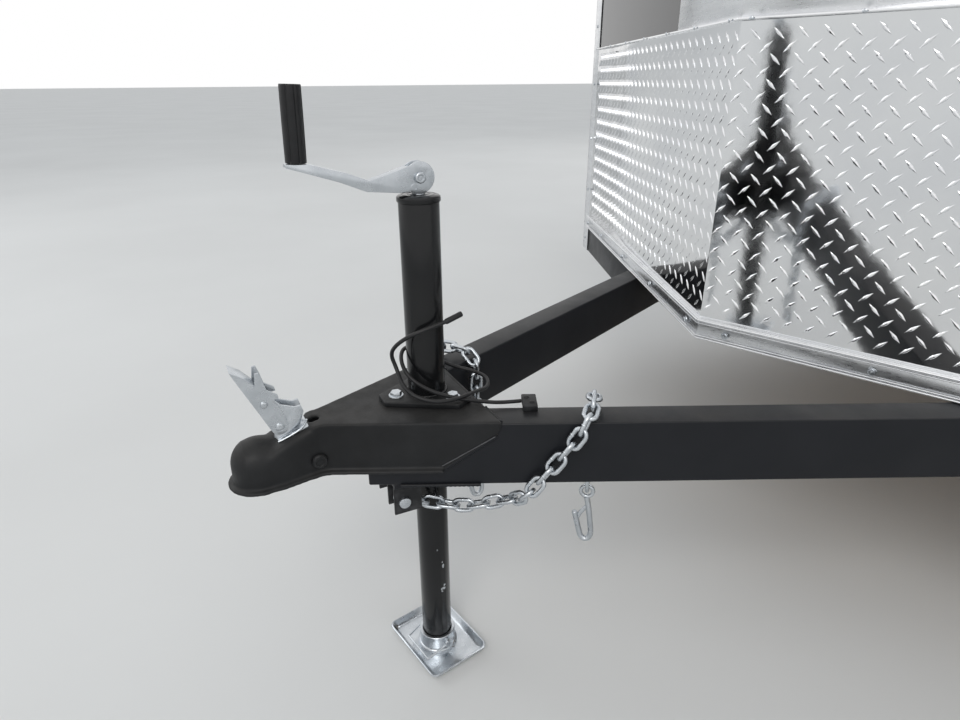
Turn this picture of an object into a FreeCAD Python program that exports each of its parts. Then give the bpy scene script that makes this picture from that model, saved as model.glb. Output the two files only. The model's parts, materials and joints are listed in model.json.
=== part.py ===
import FreeCAD, Part
import math
import os

os.makedirs("parts", exist_ok=True)

V = FreeCAD.Vector
X_AXIS = V(1, 0, 0)
Y_AXIS = V(0, 1, 0)
Z_AXIS = V(0, 0, 1)

# Enclosed utility trailer with a V nose and one axle, in millimetres
# x runs back from the front of the coupler, y to the right-hand side, z up from the ground

# Body
body_half_width = 990.6
box_length = 3657.6
inside_height = 1905.0
wall = 38.0
floor_thickness = 19.0
roof_thickness = 38.0
skirt_drop = 80.0
fit_gap = 0.3

# Running gear
tyre_radius = 331.0
tyre_width = 205.0
tyre_gap = 25.0
bead_radius = 177.8
tyre_sides = 60
wheel_sides = 60
axle_setback = 2020.0
axle_radius = 30.15
spindle_radius = 17.0
spindle_length = 62.0
hub_bore = 17.06
spring_half_span = 330.0
spring_rise = 65.0
spring_width = 44.5
leaf_thickness = 7.0
short_leaf_half_spans = (250.0, 180.0, 110.0)
spring_seat = 8.0
eye_rise = 8.0
eye_radius = 14.0
hanger_drop = 44.55
hanger_thickness = 6.0
fender_clearance = 56.0
fender_margin = 15.5
fender_thickness = 3.0
fender_lip = 28.0

# Frame rails
rail_width = 50.8
rail_height = 101.6
rail_wall = 4.8
tongue_angle = 25.0
tongue_apex_x = 90.0
tongue_start = 110.0

# Nose
nose_apex_x = 855.0
nose_sweep = 23.0
guard_thickness = 3.0
guard_height = 498.0
guard_ledge = 9.0
guard_fold = 4.0
trim_height = 39.0
trim_proud = 3.0
post_reach = 60.0
post_thickness = 3.0
cap_reach = 280.0
cap_thickness = 2.0
rim_thickness = 3.0
rim_stand = 2.0

# Rear
rear_frame_depth = 50.0
rear_post_width = 60.0
rear_header_height = 100.0
tail_lamp_size = (12.0, 44.0, 160.0)
tail_lamp_rise = 347.0
marker_lamp_size = (10.0, 64.0, 30.0)
marker_lamp_pitch = 170.0
licence_y = -740.0
licence_half_width = 152.5
licence_height = 110.0
licence_thickness = 3.0
licence_set_in = 20.0
licence_hole_radius = 3.5
licence_hole_half_pitch = 88.9
licence_hole_drop = 25.0

# Cross members
cross_setback = 41.0
cross_pitch = 406.4
cross_height = 76.2
cross_flange = 38.1
cross_wall = 3.0

# Roof vent
vent_half = 180.0
vent_height = 75.0
vent_setback = 1720.0

# Coupler, heights below the rail tops
ball_x = 46.0
ball_drop = 44.0
ball_socket_radius = 26.2
dome_radius = 38.0
lip_drop = 75.0
lip_thickness = 5.5
lip_reach = 8.0
lip_end_x = 288.0
coupler_wall = 5.0
neck_widths = ((46.0, 38.0), (75.0, 36.0), (105.0, 30.0), (128.0, 27.0))
neck_end_x = 140.0
shoulder_x = 70.0
shoulder_drop = 14.0
slope_x = 75.0
slope_drop = 12.0
slope_end_x = 128.0
coupler_tail_x = 368.0
tail_high_x = 361.0
tail_high_drop = 17.0
tail_low_x = 290.0
coupler_hole_x = 129.0
coupler_hole_radius = 7.5
coupler_pin_x = 126.0
coupler_pin_drop = 51.0
coupler_pin_radius = 8.0
coupler_pin_stand = 7.0

# Latch
latch_pivot_x = 80.1
latch_pivot_rise = 9.8
latch_pin_radius = 4.0
latch_pin_hole = 4.06
latch_foot_radius = 12.0
cheek_inner = 12.3
cheek_outer = 15.0
ear_inner = 9.0
ear_outer = 12.0
saddle_half = 18.0
saddle_thickness = 2.0
saddle_end_x = 118.0

# Jack
jack_x = 305.0
jack_tube_radius = 28.575
jack_tube_bore = 26.3
jack_tube_rise = 299.0
jack_tube_drop = 149.0
jack_cap_height = 10.0
jack_cap_overhang = 2.0
leg_radius = 26.0
leg_bore = 23.0
leg_bottom = 10.0
leg_overlap = 97.0
flange_thickness = 8.0
flange_reach = 73.0
flange_half_chamfer = 15.0
flange_bolt_circle = 50.0
flange_bolt_angles = (180.0, 300.0, 60.0)
bolt_head_radius = 9.0
bolt_head_height = 5.5
washer_radius = 11.5
washer_thickness = 1.5
lower_plate_front = 224.0
lower_plate_rear = 345.0
lower_plate_half_width = 62.0
lower_plate_thickness = 10.0

# Jack foot
foot_length = 119.0
foot_width = 155.6
foot_plate = 4.0
foot_rim = 15.0
foot_rim_wall = 3.0
foot_turn = 11.5
foot_socket_radius = 32.0
foot_socket_top = 37.0
foot_pin_radius = 5.0
foot_pin_hole = 5.06
foot_pin_z = 25.0
foot_pin_half_length = 37.0
foot_pin_head_radius = 8.0
foot_pin_head = 3.0
clip_radius = 1.8
clip_route = ((8.0, -36.5, 25.0), (-38.0, -49.0, 20.0), (-51.0, 15.0, 20.0), (-8.0, 36.5, 25.0))

# Crank
crank_pivot_rise = 331.5
crank_disc_radius = 21.0
crank_cheek_inner = 6.5
crank_half_width = 9.5
crank_web = 3.0
crank_spindle_radius = 8.0
crank_spindle_hole = 8.06
crank_head_half = 6.0
crank_pin_radius = 4.0
crank_pin_hole = 4.06
crank_pin_head_radius = 6.5
crank_pin_head = 3.0
crank_top = ((-12.0, 17.0), (-15.0, 15.5), (-48.0, 5.8), (-69.0, 0.0), (-98.0, 11.3),
             (-146.0, 25.0), (-173.0, 26.0))
crank_low = ((-173.0, 21.9), (-141.0, 11.6), (-109.0, 1.0), (-74.0, -13.5), (-32.0, -17.8),
             (-14.0, -18.5))
grip_x = -158.5
grip_lean = 1.9
grip_radius = 13.2
grip_low = 26.3
grip_length = 90.0

# Safety chains
chain_bolt_x = 240.0
chain_bolt_y = 39.0
chain_bolt_drop = 141.0
chain_bolt_radius = 5.0
chain_bolt_hole = 5.06
chain_bolt_head_radius = 9.5
chain_bolt_head = 5.5
bracket_front = 224.0
bracket_rear = 268.0
bracket_drop = 161.0
bracket_inner_half = 13.2
bracket_wall = 4.0
link_length = 39.6
link_width = 25.2
link_wire = 4.6
link_corner = 8.0
link_pitch = 24.9
link_count = 24
turn_floor = 0.001
near_chain_route = ((235.4, -39.0, 373.5), (285.0, -39.4, 347.0), (322.0, -60.0, 341.0),
                    (352.0, -82.0, 346.0), (383.0, -105.0, 361.0), (398.8, -135.2, 377.0),
                    (401.3, -160.6, 405.0), (423.0, -170.7, 438.0), (451.1, -183.8, 480.0),
                    (467.6, -193.8, 513.0), (474.0, -192.6, 528.0), (488.6, -179.2, 533.0),
                    (511.1, -152.2, 532.0), (524.2, -132.1, 525.5), (527.2, -128.6, 505.0),
                    (525.7, -130.4, 300.0))
far_chain_route = ((235.4, 39.0, 373.5), (283.0, 39.4, 352.0), (322.0, 60.0, 347.0),
                   (350.0, 94.0, 341.0), (369.0, 120.0, 331.0), (378.0, 143.0, 342.0),
                   (374.0, 148.0, 366.0), (368.5, 146.6, 396.0), (366.8, 146.2, 427.0),
                   (369.6, 145.8, 460.0), (373.7, 148.8, 512.0), (377.2, 148.3, 529.0),
                   (391.1, 132.7, 533.0), (413.2, 106.6, 532.0), (426.4, 86.2, 525.5),
                   (428.4, 81.9, 505.0), (426.9, 84.3, 250.0))
hook_eye_outer = 14.0
hook_eye_inner = 8.0
hook_half_thickness = 4.0
hook_profile = ((5.0, -10.0), (9.0, -40.0), (18.0, -80.0), (16.0, -105.0), (4.0, -120.0),
                (-12.0, -116.0), (-22.0, -98.0), (-22.0, -50.0), (-14.0, -44.0), (-13.0, -92.0),
                (-6.0, -104.0), (3.0, -107.0), (7.0, -98.0), (6.0, -78.0), (0.0, -45.0),
                (-5.0, -10.0))

# Wiring cable
cable_radius = 3.0
cable_route = ((423.9, -86.2, 516.5), (392.0, -79.0, 516.8), (356.0, -70.0, 524.5),
               (322.0, -60.0, 533.0), (291.0, -46.0, 545.0), (268.0, -26.0, 562.0),
               (265.0, 0.0, 579.0), (277.0, 24.0, 590.0), (303.0, 39.0, 583.0),
               (332.0, 40.0, 559.0), (362.0, 31.0, 540.0), (390.0, 15.0, 533.0),
               (405.0, -11.0, 529.0), (392.0, -38.0, 525.0), (360.0, -56.0, 533.0),
               (326.0, -73.0, 536.0), (291.0, -75.0, 539.0), (264.0, -58.0, 546.0),
               (255.0, -31.0, 556.0), (257.0, -5.0, 571.0), (250.0, -1.0, 594.0),
               (254.0, -16.0, 613.0), (270.0, -32.0, 630.0), (296.0, -39.0, 639.0),
               (325.0, -40.0, 646.0))
sleeve_radius = 4.2
sleeve_end = (349.0, -40.0, 654.0)
clamp_start = 340.0
clamp_length = 22.0
clamp_low_u = 36.0
clamp_high_u = 76.0
clamp_height = 10.0

# Side door
side_door_setback = 121.0
side_door_width = 813.0
side_door_sill = 47.0
side_door_height = 1810.0
door_gap = 6.0
side_hinge_radius = 7.0
side_hinge_out = 10.0
side_hinge_offset = 8.0
side_hinge_rises = (160.0, 905.0, 1650.0)
side_hinge_length = 40.0
side_hinge_strap = 60.0
strap_thickness = 3.0
hinge_pin_radius = 3.0
hinge_pin_hole = 3.06
running_gap = 1.0
lock_width = 80.0
lock_height = 120.0
lock_thickness = 14.0
lock_set_in = 30.0
lock_rise = 700.0

# Ramp door
ramp_thickness = 43.0
ramp_proud = 5.0
ramp_lift = 5.0
ramp_hinge_out = 7.0
ramp_hinge_drop = 2.0
ramp_hinge_radius = 7.0
ramp_hinge_length = 60.0
ramp_hinge_places = (-700.0, -350.0, 0.0, 350.0, 640.0)
ramp_hinge_web = 40.0
ramp_strap_height = 30.0
lock_bar_radius = 10.0
lock_bar_y = 780.0
lock_bar_margin = 40.0

sweep = math.radians(nose_sweep)
spread = math.radians(tongue_angle)
axle_z = tyre_radius
spring_mid = axle_z - axle_radius - spring_seat
eye_z = spring_mid + spring_rise + eye_rise
rail_low = eye_z + hanger_drop
rail_top = rail_low + rail_height
floor_top = rail_top + floor_thickness
roof_bottom = floor_top + inside_height
roof_top = roof_bottom + roof_thickness
skirt_bottom = rail_top - skirt_drop
wall_apex_x = nose_apex_x + guard_thickness / math.cos(sweep)
inner_half = body_half_width - wall
rail_outer_y = inner_half
rail_inner_y = rail_outer_y - rail_width


def nose_x(y, depth):
    """Station of the nose surface, depth millimetres inside the wall's outer face, at a distance y
    from the centre plane."""
    return wall_apex_x + depth / math.cos(sweep) + abs(y) * math.tan(sweep)


corner_x = nose_x(body_half_width, 0.0)
inner_corner_x = nose_x(inner_half, wall)
rear_frame_rear = corner_x + box_length
rear_frame_front = rear_frame_rear - rear_frame_depth
ramp_outer_x = rear_frame_rear + ramp_proud
ramp_inner_x = ramp_outer_x - ramp_thickness
overall_length = ramp_outer_x + fit_gap + 2.0 * lock_bar_radius
axle_x = corner_x + axle_setback
tyre_centre_y = body_half_width + tyre_gap + tyre_width / 2.0
fender_radius = tyre_radius + fender_clearance
fender_outer_y = tyre_centre_y + tyre_width / 2.0 + fender_margin
spring_y = (rail_outer_y + rail_inner_y) / 2.0


def box(x0, x1, y0, y1, z0, z1):
    return Part.makeBox(x1 - x0, y1 - y0, z1 - z0, V(x0, y0, z0))


def rod(point, direction, radius, length):
    return Part.makeCylinder(radius, length, point, direction)


def pipe(point, direction, outer, inner, length):
    hole = Part.makeCylinder(inner, length + 2.0, point - direction * 1.0, direction)
    return Part.makeCylinder(outer, length, point, direction).cut(hole)


def plan(points, z0, z1):
    corners = [V(x, y, z0) for x, y in points]
    face = Part.Face(Part.makePolygon(corners + corners[:1]))
    return face.extrude(V(0, 0, z1 - z0))


def side(points, y0, y1):
    corners = [V(x, y0, z) for x, z in points]
    face = Part.Face(Part.makePolygon(corners + corners[:1]))
    return face.extrude(V(0, y1 - y0, 0))


def mirror(shape):
    return shape.mirror(V(0, 0, 0), Y_AXIS)


def both(shape):
    return [shape, mirror(shape)]


def fuse(shapes):
    body = shapes[0]
    for shape in shapes[1:]:
        body = body.fuse(shape)
    return body.removeSplitter()


def faceted_ring(points, sides, centre, out):
    """A ring of flat facets. Each point is a radius, measured to the middle of a facet, and a
    distance along the axle from the centre, away from the body."""
    step = 2.0 * math.pi / sides
    rings = []
    for k in range(sides):
        a = (k + 0.5) * step
        reach = 1.0 / math.cos(step / 2.0)
        rings.append([centre + V(r * reach * math.sin(a), out * w, -r * reach * math.cos(a))
                      for r, w in points])
    faces = []
    for k in range(sides):
        near, far = rings[k], rings[(k + 1) % sides]
        for i in range(len(points)):
            j = (i + 1) % len(points)
            faces.append(Part.Face(Part.makePolygon([near[i], near[j], far[j], far[i], near[i]])))
    ring = Part.Solid(Part.Shell(faces))
    if ring.Volume < 0:
        ring.reverse()
    return ring


saved = []


def save(name, shapes):
    group = Part.makeCompound(shapes) if len(shapes) > 1 else shapes[0].copy()
    group.translate(V(-overall_length / 2.0, 0, 0))
    if not group.isValid():
        print("not valid", name)
    found = group.BoundBox
    print(name, len(group.Solids), round(group.Volume / 1e6, 3),
          [round(v, 1) for v in (found.XMin, found.XMax, found.YMin, found.YMax, found.ZMin, found.ZMax)])
    group.exportStep("parts/" + name + ".step")
    saved.append(group)


def nose_band(depth_out, depth_in, y0, y1):
    """Plan of one facet's slice on the left side, between two distances from the centre plane."""
    return [(nose_x(y0, depth_out), -y0), (nose_x(y1, depth_out), -y1),
            (nose_x(y1, depth_in), -y1), (nose_x(y0, depth_in), -y0)]


def rail_line(x, out):
    """Distance of a tongue rail's outer face, moved out by out, from the centre plane."""
    return (x - tongue_apex_x) * math.tan(spread) + out / math.cos(spread)


def along_tongue(shape):
    """Turns and moves a shape from the left rail's own frame: x along it, y in from its outer face."""
    shape.rotate(V(0, 0, 0), Z_AXIS, -tongue_angle)
    shape.translate(V(tongue_apex_x, 0, 0))
    return shape


# Tongue rails, closed box section, outer faces meeting ahead of the jack
tongue_end = (rail_inner_y - fit_gap) / math.sin(spread)
rail_tube = box(tongue_start, tongue_end, 0, rail_width, rail_low, rail_top).cut(
    box(tongue_start - 1.0, tongue_end + 1.0, rail_wall, rail_width - rail_wall,
        rail_low + rail_wall, rail_top - rail_wall))
save("tongue_rails", both(along_tongue(rail_tube)))
tongue_block = along_tongue(box(tongue_start, tongue_end, 0, rail_width, rail_low, rail_top))

# Main rails
main_front_x = nose_x(rail_outer_y, wall)
main_rail = box(main_front_x, rear_frame_front, -rail_outer_y, -rail_inner_y, rail_low, rail_top).cut(
    box(main_front_x - 1.0, rear_frame_front + 1.0, -rail_outer_y + rail_wall,
        -rail_inner_y - rail_wall, rail_low + rail_wall, rail_top - rail_wall))
save("main_rails", both(main_rail))

# Nose sills under the swept front, outside the tongue rails
sill = plan(nose_band(0.0, wall, 0.0, rail_outer_y), skirt_bottom, rail_top).cut(tongue_block)
sill = max(sill.Solids, key=lambda s: abs(s.CenterOfMass.y))
save("nose_sills", both(sill))

# Cross members, channel section, open to the rear
cross_low = rail_top - cross_height
cross_first_x = corner_x + cross_setback
cross_count = int((rear_frame_front - cross_flange - cross_first_x) / cross_pitch) + 1
cross_bars = []
for i in range(cross_count):
    x0 = cross_first_x + i * cross_pitch
    channel = side([(x0, cross_low), (x0 + cross_flange, cross_low),
                    (x0 + cross_flange, cross_low + cross_wall), (x0 + cross_wall, cross_low + cross_wall),
                    (x0 + cross_wall, rail_top - cross_wall), (x0 + cross_flange, rail_top - cross_wall),
                    (x0 + cross_flange, rail_top), (x0, rail_top)], -rail_inner_y, rail_inner_y)
    cut = channel.cut(tongue_block).cut(mirror(tongue_block))
    cross_bars += [s for s in cut.Solids if s.BoundBox.YLength > cross_flange]
save("cross_members", cross_bars)

# Floor deck
deck = plan([(nose_x(0, wall), 0), (inner_corner_x, -inner_half), (rear_frame_front, -inner_half),
             (rear_frame_front, inner_half), (inner_corner_x, inner_half)], rail_top, floor_top)
save("floor_deck", [deck])

# Walls
wall_left = plan([(corner_x, -body_half_width), (rear_frame_front, -body_half_width),
                  (rear_frame_front, -inner_half), (inner_corner_x, -inner_half)],
                 skirt_bottom, roof_bottom)
save("wall_left", [wall_left])
side_door_front = corner_x + side_door_setback
side_door_rear = side_door_front + side_door_width
side_door_low = rail_top + side_door_sill
side_door_high = side_door_low + side_door_height
door_hole = box(side_door_front, side_door_rear, inner_half - 1.0, body_half_width + 1.0,
                side_door_low, side_door_high)
save("wall_right", [mirror(wall_left).cut(door_hole)])
nose_wall = plan([(wall_apex_x, 0), (corner_x, -body_half_width), (inner_corner_x, -inner_half),
                  (nose_x(0, wall), 0)], rail_top, roof_bottom)
save("nose_wall_left", [nose_wall])
save("nose_wall_right", [mirror(nose_wall)])

# Roof
roof = plan([(wall_apex_x, 0), (corner_x, -body_half_width), (rear_frame_front, -body_half_width),
             (rear_frame_front, body_half_width), (corner_x, body_half_width)], roof_bottom, roof_top)
save("roof_panel", [roof])

# Bright trim along the bottom of the nose
guard_edge = body_half_width - post_reach
trim_bottom = rail_top + fit_gap
trim_top = trim_bottom + trim_height
trim_half = plan(nose_band(-guard_thickness - trim_proud, 0.0, 0.0, guard_edge), trim_bottom, trim_top)
save("base_trim", [fuse(both(trim_half))])

# Stone guard, tread plate over the lower nose, with a folded ledge at its top
guard_top = trim_top + guard_height
guard_half = plan(nose_band(-guard_thickness, 0.0, 0.0, guard_edge), trim_top, guard_top)
ledge_half = plan(nose_band(-guard_thickness - guard_ledge, 0.0, 0.0, guard_edge),
                  guard_top - guard_fold, guard_top)
save("stone_guard", [fuse(both(guard_half) + both(ledge_half))])

# Bright cap over the nose corner above the guard
cap_half = plan(nose_band(-cap_thickness, 0.0, 0.0, cap_reach), guard_top, roof_bottom)
save("nose_cap", [fuse(both(cap_half))])

# Corner posts where the swept front meets the sides
post_turn = post_thickness * math.tan((math.pi / 2 - sweep) / 2)
post_corner_y = -body_half_width - post_thickness
post_nose = plan([(nose_x(guard_edge, -post_thickness), -guard_edge), (corner_x - post_turn, post_corner_y),
                  (corner_x, -body_half_width), (nose_x(guard_edge, 0), -guard_edge)],
                 skirt_bottom, roof_bottom)
post_side = plan([(corner_x - post_turn, post_corner_y), (corner_x + post_reach, post_corner_y),
                  (corner_x + post_reach, -body_half_width), (corner_x, -body_half_width)],
                 skirt_bottom, roof_bottom)
save("corner_posts", both(fuse([post_nose, post_side])))

# Roof rim, a bright band round the roof edge
rim_turn = rim_thickness * math.tan((math.pi / 2 - sweep) / 2)
rim_corner = -body_half_width - rim_thickness
rim_half = plan([(nose_x(0, -rim_thickness), 0), (corner_x - rim_turn, rim_corner),
                 (rear_frame_front, rim_corner), (rear_frame_front, -body_half_width),
                 (corner_x, -body_half_width), (wall_apex_x, 0)], roof_bottom, roof_top + rim_stand)
save("roof_rim", [fuse(both(rim_half))])

# Rear frame
frame_outline = box(rear_frame_front, rear_frame_rear, -body_half_width, body_half_width, rail_low, roof_top)
frame_hole = box(rear_frame_front - 1.0, rear_frame_rear + 1.0, -body_half_width + rear_post_width,
                 body_half_width - rear_post_width, rail_top, roof_top - rear_header_height)
save("rear_frame", [frame_outline.cut(frame_hole)])

# Roof vent
vent_x = corner_x + vent_setback
save("roof_vent", [box(vent_x - vent_half, vent_x + vent_half, -vent_half, vent_half,
                       roof_top, roof_top + vent_height)])

# Rear lamps
lamps = []
tail_y = body_half_width - rear_post_width / 2.0
depth, width, height = tail_lamp_size
for y in (-tail_y, tail_y):
    lamps.append(box(rear_frame_rear, rear_frame_rear + depth, y - width / 2.0, y + width / 2.0,
                     rail_top + tail_lamp_rise, rail_top + tail_lamp_rise + height))
depth, width, height = marker_lamp_size
marker_z = roof_top - rear_header_height / 2.0
for k in (-1, 0, 1):
    y = k * marker_lamp_pitch
    lamps.append(box(rear_frame_rear, rear_frame_rear + depth, y - width / 2.0, y + width / 2.0,
                     marker_z - height / 2.0, marker_z + height / 2.0))
save("rear_lamps", lamps)

# Licence plate bracket
plate_rear = rear_frame_rear - licence_set_in
plate = box(plate_rear - licence_thickness, plate_rear, licence_y - licence_half_width,
            licence_y + licence_half_width, rail_low - licence_height, rail_low)
for dy in (-licence_hole_half_pitch, licence_hole_half_pitch):
    plate = plate.cut(rod(V(plate_rear - licence_thickness - 1.0, licence_y + dy, rail_low - licence_hole_drop),
                          X_AXIS, licence_hole_radius, licence_thickness + 2.0))
save("licence_bracket", [plate])

# Coupler: ball dome, sloping neck, flaring channel over the rails, lip along the bottom
ball_z = rail_top - ball_drop
lip_bottom = rail_top - lip_drop
coupler_top = rail_top + coupler_wall


def coupler_plan(out):
    """Plan of the coupler with each side moved out by out."""
    left = [(x, -w - out) for x, w in neck_widths]
    left.append((neck_end_x, -rail_line(neck_end_x, coupler_wall + out)))
    left.append((coupler_tail_x, -rail_line(coupler_tail_x, coupler_wall + out)))
    return left + [(x, -y) for x, y in reversed(left)]


block_side = [(ball_x, lip_bottom), (ball_x, ball_z), (shoulder_x, rail_top - shoulder_drop),
              (slope_x, rail_top - slope_drop), (slope_end_x, coupler_top), (coupler_tail_x, coupler_top),
              (coupler_tail_x, rail_top), (tail_high_x, rail_top - tail_high_drop),
              (tail_low_x, lip_bottom)]
reach = rail_line(coupler_tail_x, coupler_wall + lip_reach) + 1.0
block = side(block_side, -reach, reach).common(plan(coupler_plan(0.0), lip_bottom, coupler_top))
hollow_side = [(ball_x + dome_radius, lip_bottom - 1.0), (ball_x + dome_radius, rail_top - slope_drop - coupler_wall),
               (slope_end_x, rail_top - 1.0), (slope_end_x + coupler_wall, rail_top),
               (coupler_tail_x + 1.0, rail_top), (coupler_tail_x + 1.0, lip_bottom - 1.0)]
hollow = side(hollow_side, -reach, reach).common(plan(coupler_plan(-coupler_wall), lip_bottom - 1.0, coupler_top))
tail_run = box(neck_end_x, coupler_tail_x + 1.0, -reach, reach, lip_bottom - 1.0, rail_top)
tail_run = tail_run.common(along_tongue(box(tongue_start - 60.0, tongue_end, 0, 2.0 * reach, 0, rail_top)))
tail_run = tail_run.common(mirror(tail_run))
dome = fuse([Part.makeSphere(dome_radius, V(ball_x, 0, ball_z)),
             rod(V(ball_x, 0, lip_bottom), Z_AXIS, dome_radius, ball_z - lip_bottom)])
lip = plan(coupler_plan(lip_reach), lip_bottom, lip_bottom + lip_thickness)
lip = lip.common(box(ball_x, lip_end_x, -reach, reach, lip_bottom, coupler_top))
nose_lip = rod(V(ball_x, 0, lip_bottom), Z_AXIS, dome_radius + lip_reach, lip_thickness)
body = fuse([block, lip, nose_lip])
body = body.cut(hollow).cut(tail_run)
body = fuse([body, dome])
cavity = Part.makeSphere(ball_socket_radius, V(ball_x, 0, ball_z)).fuse(
    rod(V(ball_x, 0, lip_bottom - 1.0), Z_AXIS, ball_socket_radius, ball_z - lip_bottom + 1.0))
body = body.cut(cavity).cut(box(-reach, coupler_tail_x + 1.0, -reach, reach, 0.0, lip_bottom))
body = body.cut(rod(V(jack_x, 0, rail_top - 1.0), Z_AXIS, jack_tube_radius + fit_gap, coupler_wall + 2.0))
body = body.cut(rod(V(coupler_hole_x, 0, rail_top - 2.0 * coupler_wall), Z_AXIS, coupler_hole_radius,
                    4.0 * coupler_wall))
pin_half = neck_widths[-1][1] + coupler_pin_stand
body = body.cut(rod(V(coupler_pin_x, -reach, rail_top - coupler_pin_drop), Y_AXIS,
                    coupler_pin_radius + fit_gap, 2.0 * reach))
save("coupler_body", [body])
save("coupler_pin", [rod(V(coupler_pin_x, -pin_half, rail_top - coupler_pin_drop), Y_AXIS,
                         coupler_pin_radius, 2.0 * pin_half)])

# Latch seat: a saddle on the neck's slope with two upright ears
latch_pivot_z = rail_top + latch_pivot_rise
rise = (coupler_top - (rail_top - slope_drop)) / (slope_end_x - slope_x)


def slope_z(x):
    return rail_top - slope_drop + (x - slope_x) * rise


saddle = side([(slope_x, slope_z(slope_x)), (saddle_end_x, slope_z(saddle_end_x)),
               (saddle_end_x, slope_z(saddle_end_x) + saddle_thickness),
               (slope_x, slope_z(slope_x) + saddle_thickness)], -saddle_half, saddle_half)
ear_points = [(75.1, -10.8), (71.0, -6.0), (75.4, 52.7), (85.4, 41.5), (104.0, 34.2), (112.1, 35.3),
              (114.9, 25.5), (111.1, 15.8), (106.0, 1.0)]
ear = side([(x, rail_top + h) for x, h in ear_points], -ear_outer, -ear_inner)
seat = fuse([saddle] + both(ear)).cut(dome)
seat = seat.cut(rod(V(latch_pivot_x, -saddle_half, latch_pivot_z), Y_AXIS, latch_pin_hole, 2.0 * saddle_half))
save("latch_seat", [seat])

# Latch lever: two cheeks, a thumb web at the tip and the pivot pin
cheek_points = [(69.1, 5.0), (30.7, 92.5), (26.4, 103.1), (41.6, 93.0), (55.1, 77.4), (57.6, 95.2),
                (62.6, 95.6), (66.0, 85.0), (70.0, 68.5), (82.7, 59.8), (83.9, 53.7), (75.4, 52.7),
                (84.0, 38.0), (91.6, 13.0)]
cheek = side([(x, rail_top + h) for x, h in cheek_points], -cheek_outer, -cheek_inner)
cheek = cheek.fuse(rod(V(latch_pivot_x, -cheek_outer, latch_pivot_z), Y_AXIS, latch_foot_radius,
                       cheek_outer - cheek_inner))
web_points = [(26.4, 103.1), (41.6, 93.0), (55.1, 77.4), (52.9, 75.4), (39.9, 90.4), (28.7, 97.8)]
web = side([(x, rail_top + h) for x, h in web_points], -cheek_outer, cheek_outer)
latch_pin = rod(V(latch_pivot_x, -cheek_outer, latch_pivot_z), Y_AXIS, latch_pin_radius, 2.0 * cheek_outer)
save("latch_lever", [fuse(both(cheek) + [web, latch_pin])])

# Jack tube, cap, flange and bolts
tube_top = rail_top + jack_tube_rise
tube_bottom = rail_top - jack_tube_drop
cap_top = tube_top + jack_cap_height
save("jack_tube", [pipe(V(jack_x, 0, tube_bottom), Z_AXIS, jack_tube_radius, jack_tube_bore,
                        tube_top - tube_bottom)])
save("jack_cap", [pipe(V(jack_x, 0, tube_top), Z_AXIS, jack_tube_radius + jack_cap_overhang,
                       crank_spindle_hole, jack_cap_height)])
flange_points = []
for angle in flange_bolt_angles:
    a = math.radians(angle)
    for s in (-1.0, 1.0):
        flange_points.append((jack_x + flange_reach * math.cos(a) - s * flange_half_chamfer * math.sin(a),
                              flange_reach * math.sin(a) + s * flange_half_chamfer * math.cos(a)))
flange_top = coupler_top + flange_thickness
flange = plan(flange_points, coupler_top, flange_top)
save("jack_flange", [flange.cut(rod(V(jack_x, 0, coupler_top - 1.0), Z_AXIS, jack_tube_radius,
                                    flange_thickness + 2.0))])
heads = []
for angle in flange_bolt_angles:
    a = math.radians(angle)
    centre = V(jack_x + flange_bolt_circle * math.cos(a), flange_bolt_circle * math.sin(a), flange_top)
    heads.append(fuse([rod(centre, Z_AXIS, washer_radius, washer_thickness),
                       rod(centre + V(0, 0, washer_thickness), Z_AXIS, bolt_head_radius, bolt_head_height)]))
save("jack_bolts", heads)
lower_plate = box(lower_plate_front, lower_plate_rear, -lower_plate_half_width, lower_plate_half_width,
                  rail_low - lower_plate_thickness, rail_low)
save("jack_lower_plate", [lower_plate.cut(rod(V(jack_x, 0, 0), Z_AXIS, jack_tube_radius, rail_top))])

# Jack leg, foot and the pin that holds them, with its wire clip
pin_axis = V(math.sin(math.radians(foot_turn)), -math.cos(math.radians(foot_turn)), 0)
pin_centre = V(jack_x, 0, foot_pin_z)
pin_hole = rod(pin_centre - pin_axis * foot_width, pin_axis, foot_pin_hole, 2.0 * foot_width)
leg = pipe(V(jack_x, 0, leg_bottom), Z_AXIS, leg_radius, leg_bore, tube_bottom + leg_overlap - leg_bottom)
save("jack_leg", [leg.cut(pin_hole)])
foot = box(-foot_length / 2.0, foot_length / 2.0, -foot_width / 2.0, foot_width / 2.0, 0.0, foot_rim)
foot = foot.cut(box(-foot_length / 2.0 + foot_rim_wall, foot_length / 2.0 - foot_rim_wall,
                    -foot_width / 2.0 + foot_rim_wall, foot_width / 2.0 - foot_rim_wall,
                    foot_plate, foot_rim + 1.0))
foot = fuse([foot, pipe(V(0, 0, foot_plate), Z_AXIS, foot_socket_radius, leg_radius + fit_gap,
                        foot_socket_top - foot_plate)])
foot.rotate(V(0, 0, 0), Z_AXIS, foot_turn)
foot.translate(V(jack_x, 0, 0))
save("jack_foot", [foot.cut(pin_hole)])
clip_points = [V(jack_x + x, y, z) for x, y, z in clip_route]
clip = [rod(pin_centre - pin_axis * foot_pin_half_length, pin_axis, foot_pin_radius, 2.0 * foot_pin_half_length),
        rod(pin_centre + pin_axis * foot_pin_half_length, pin_axis, foot_pin_head_radius, foot_pin_head)]
for a, b in zip(clip_points, clip_points[1:]):
    clip.append(rod(a, (b - a).normalize(), clip_radius, (b - a).Length))
for p in clip_points[1:-1]:
    clip.append(Part.makeSphere(clip_radius, p))
save("foot_pin", [fuse(clip)])

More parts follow.
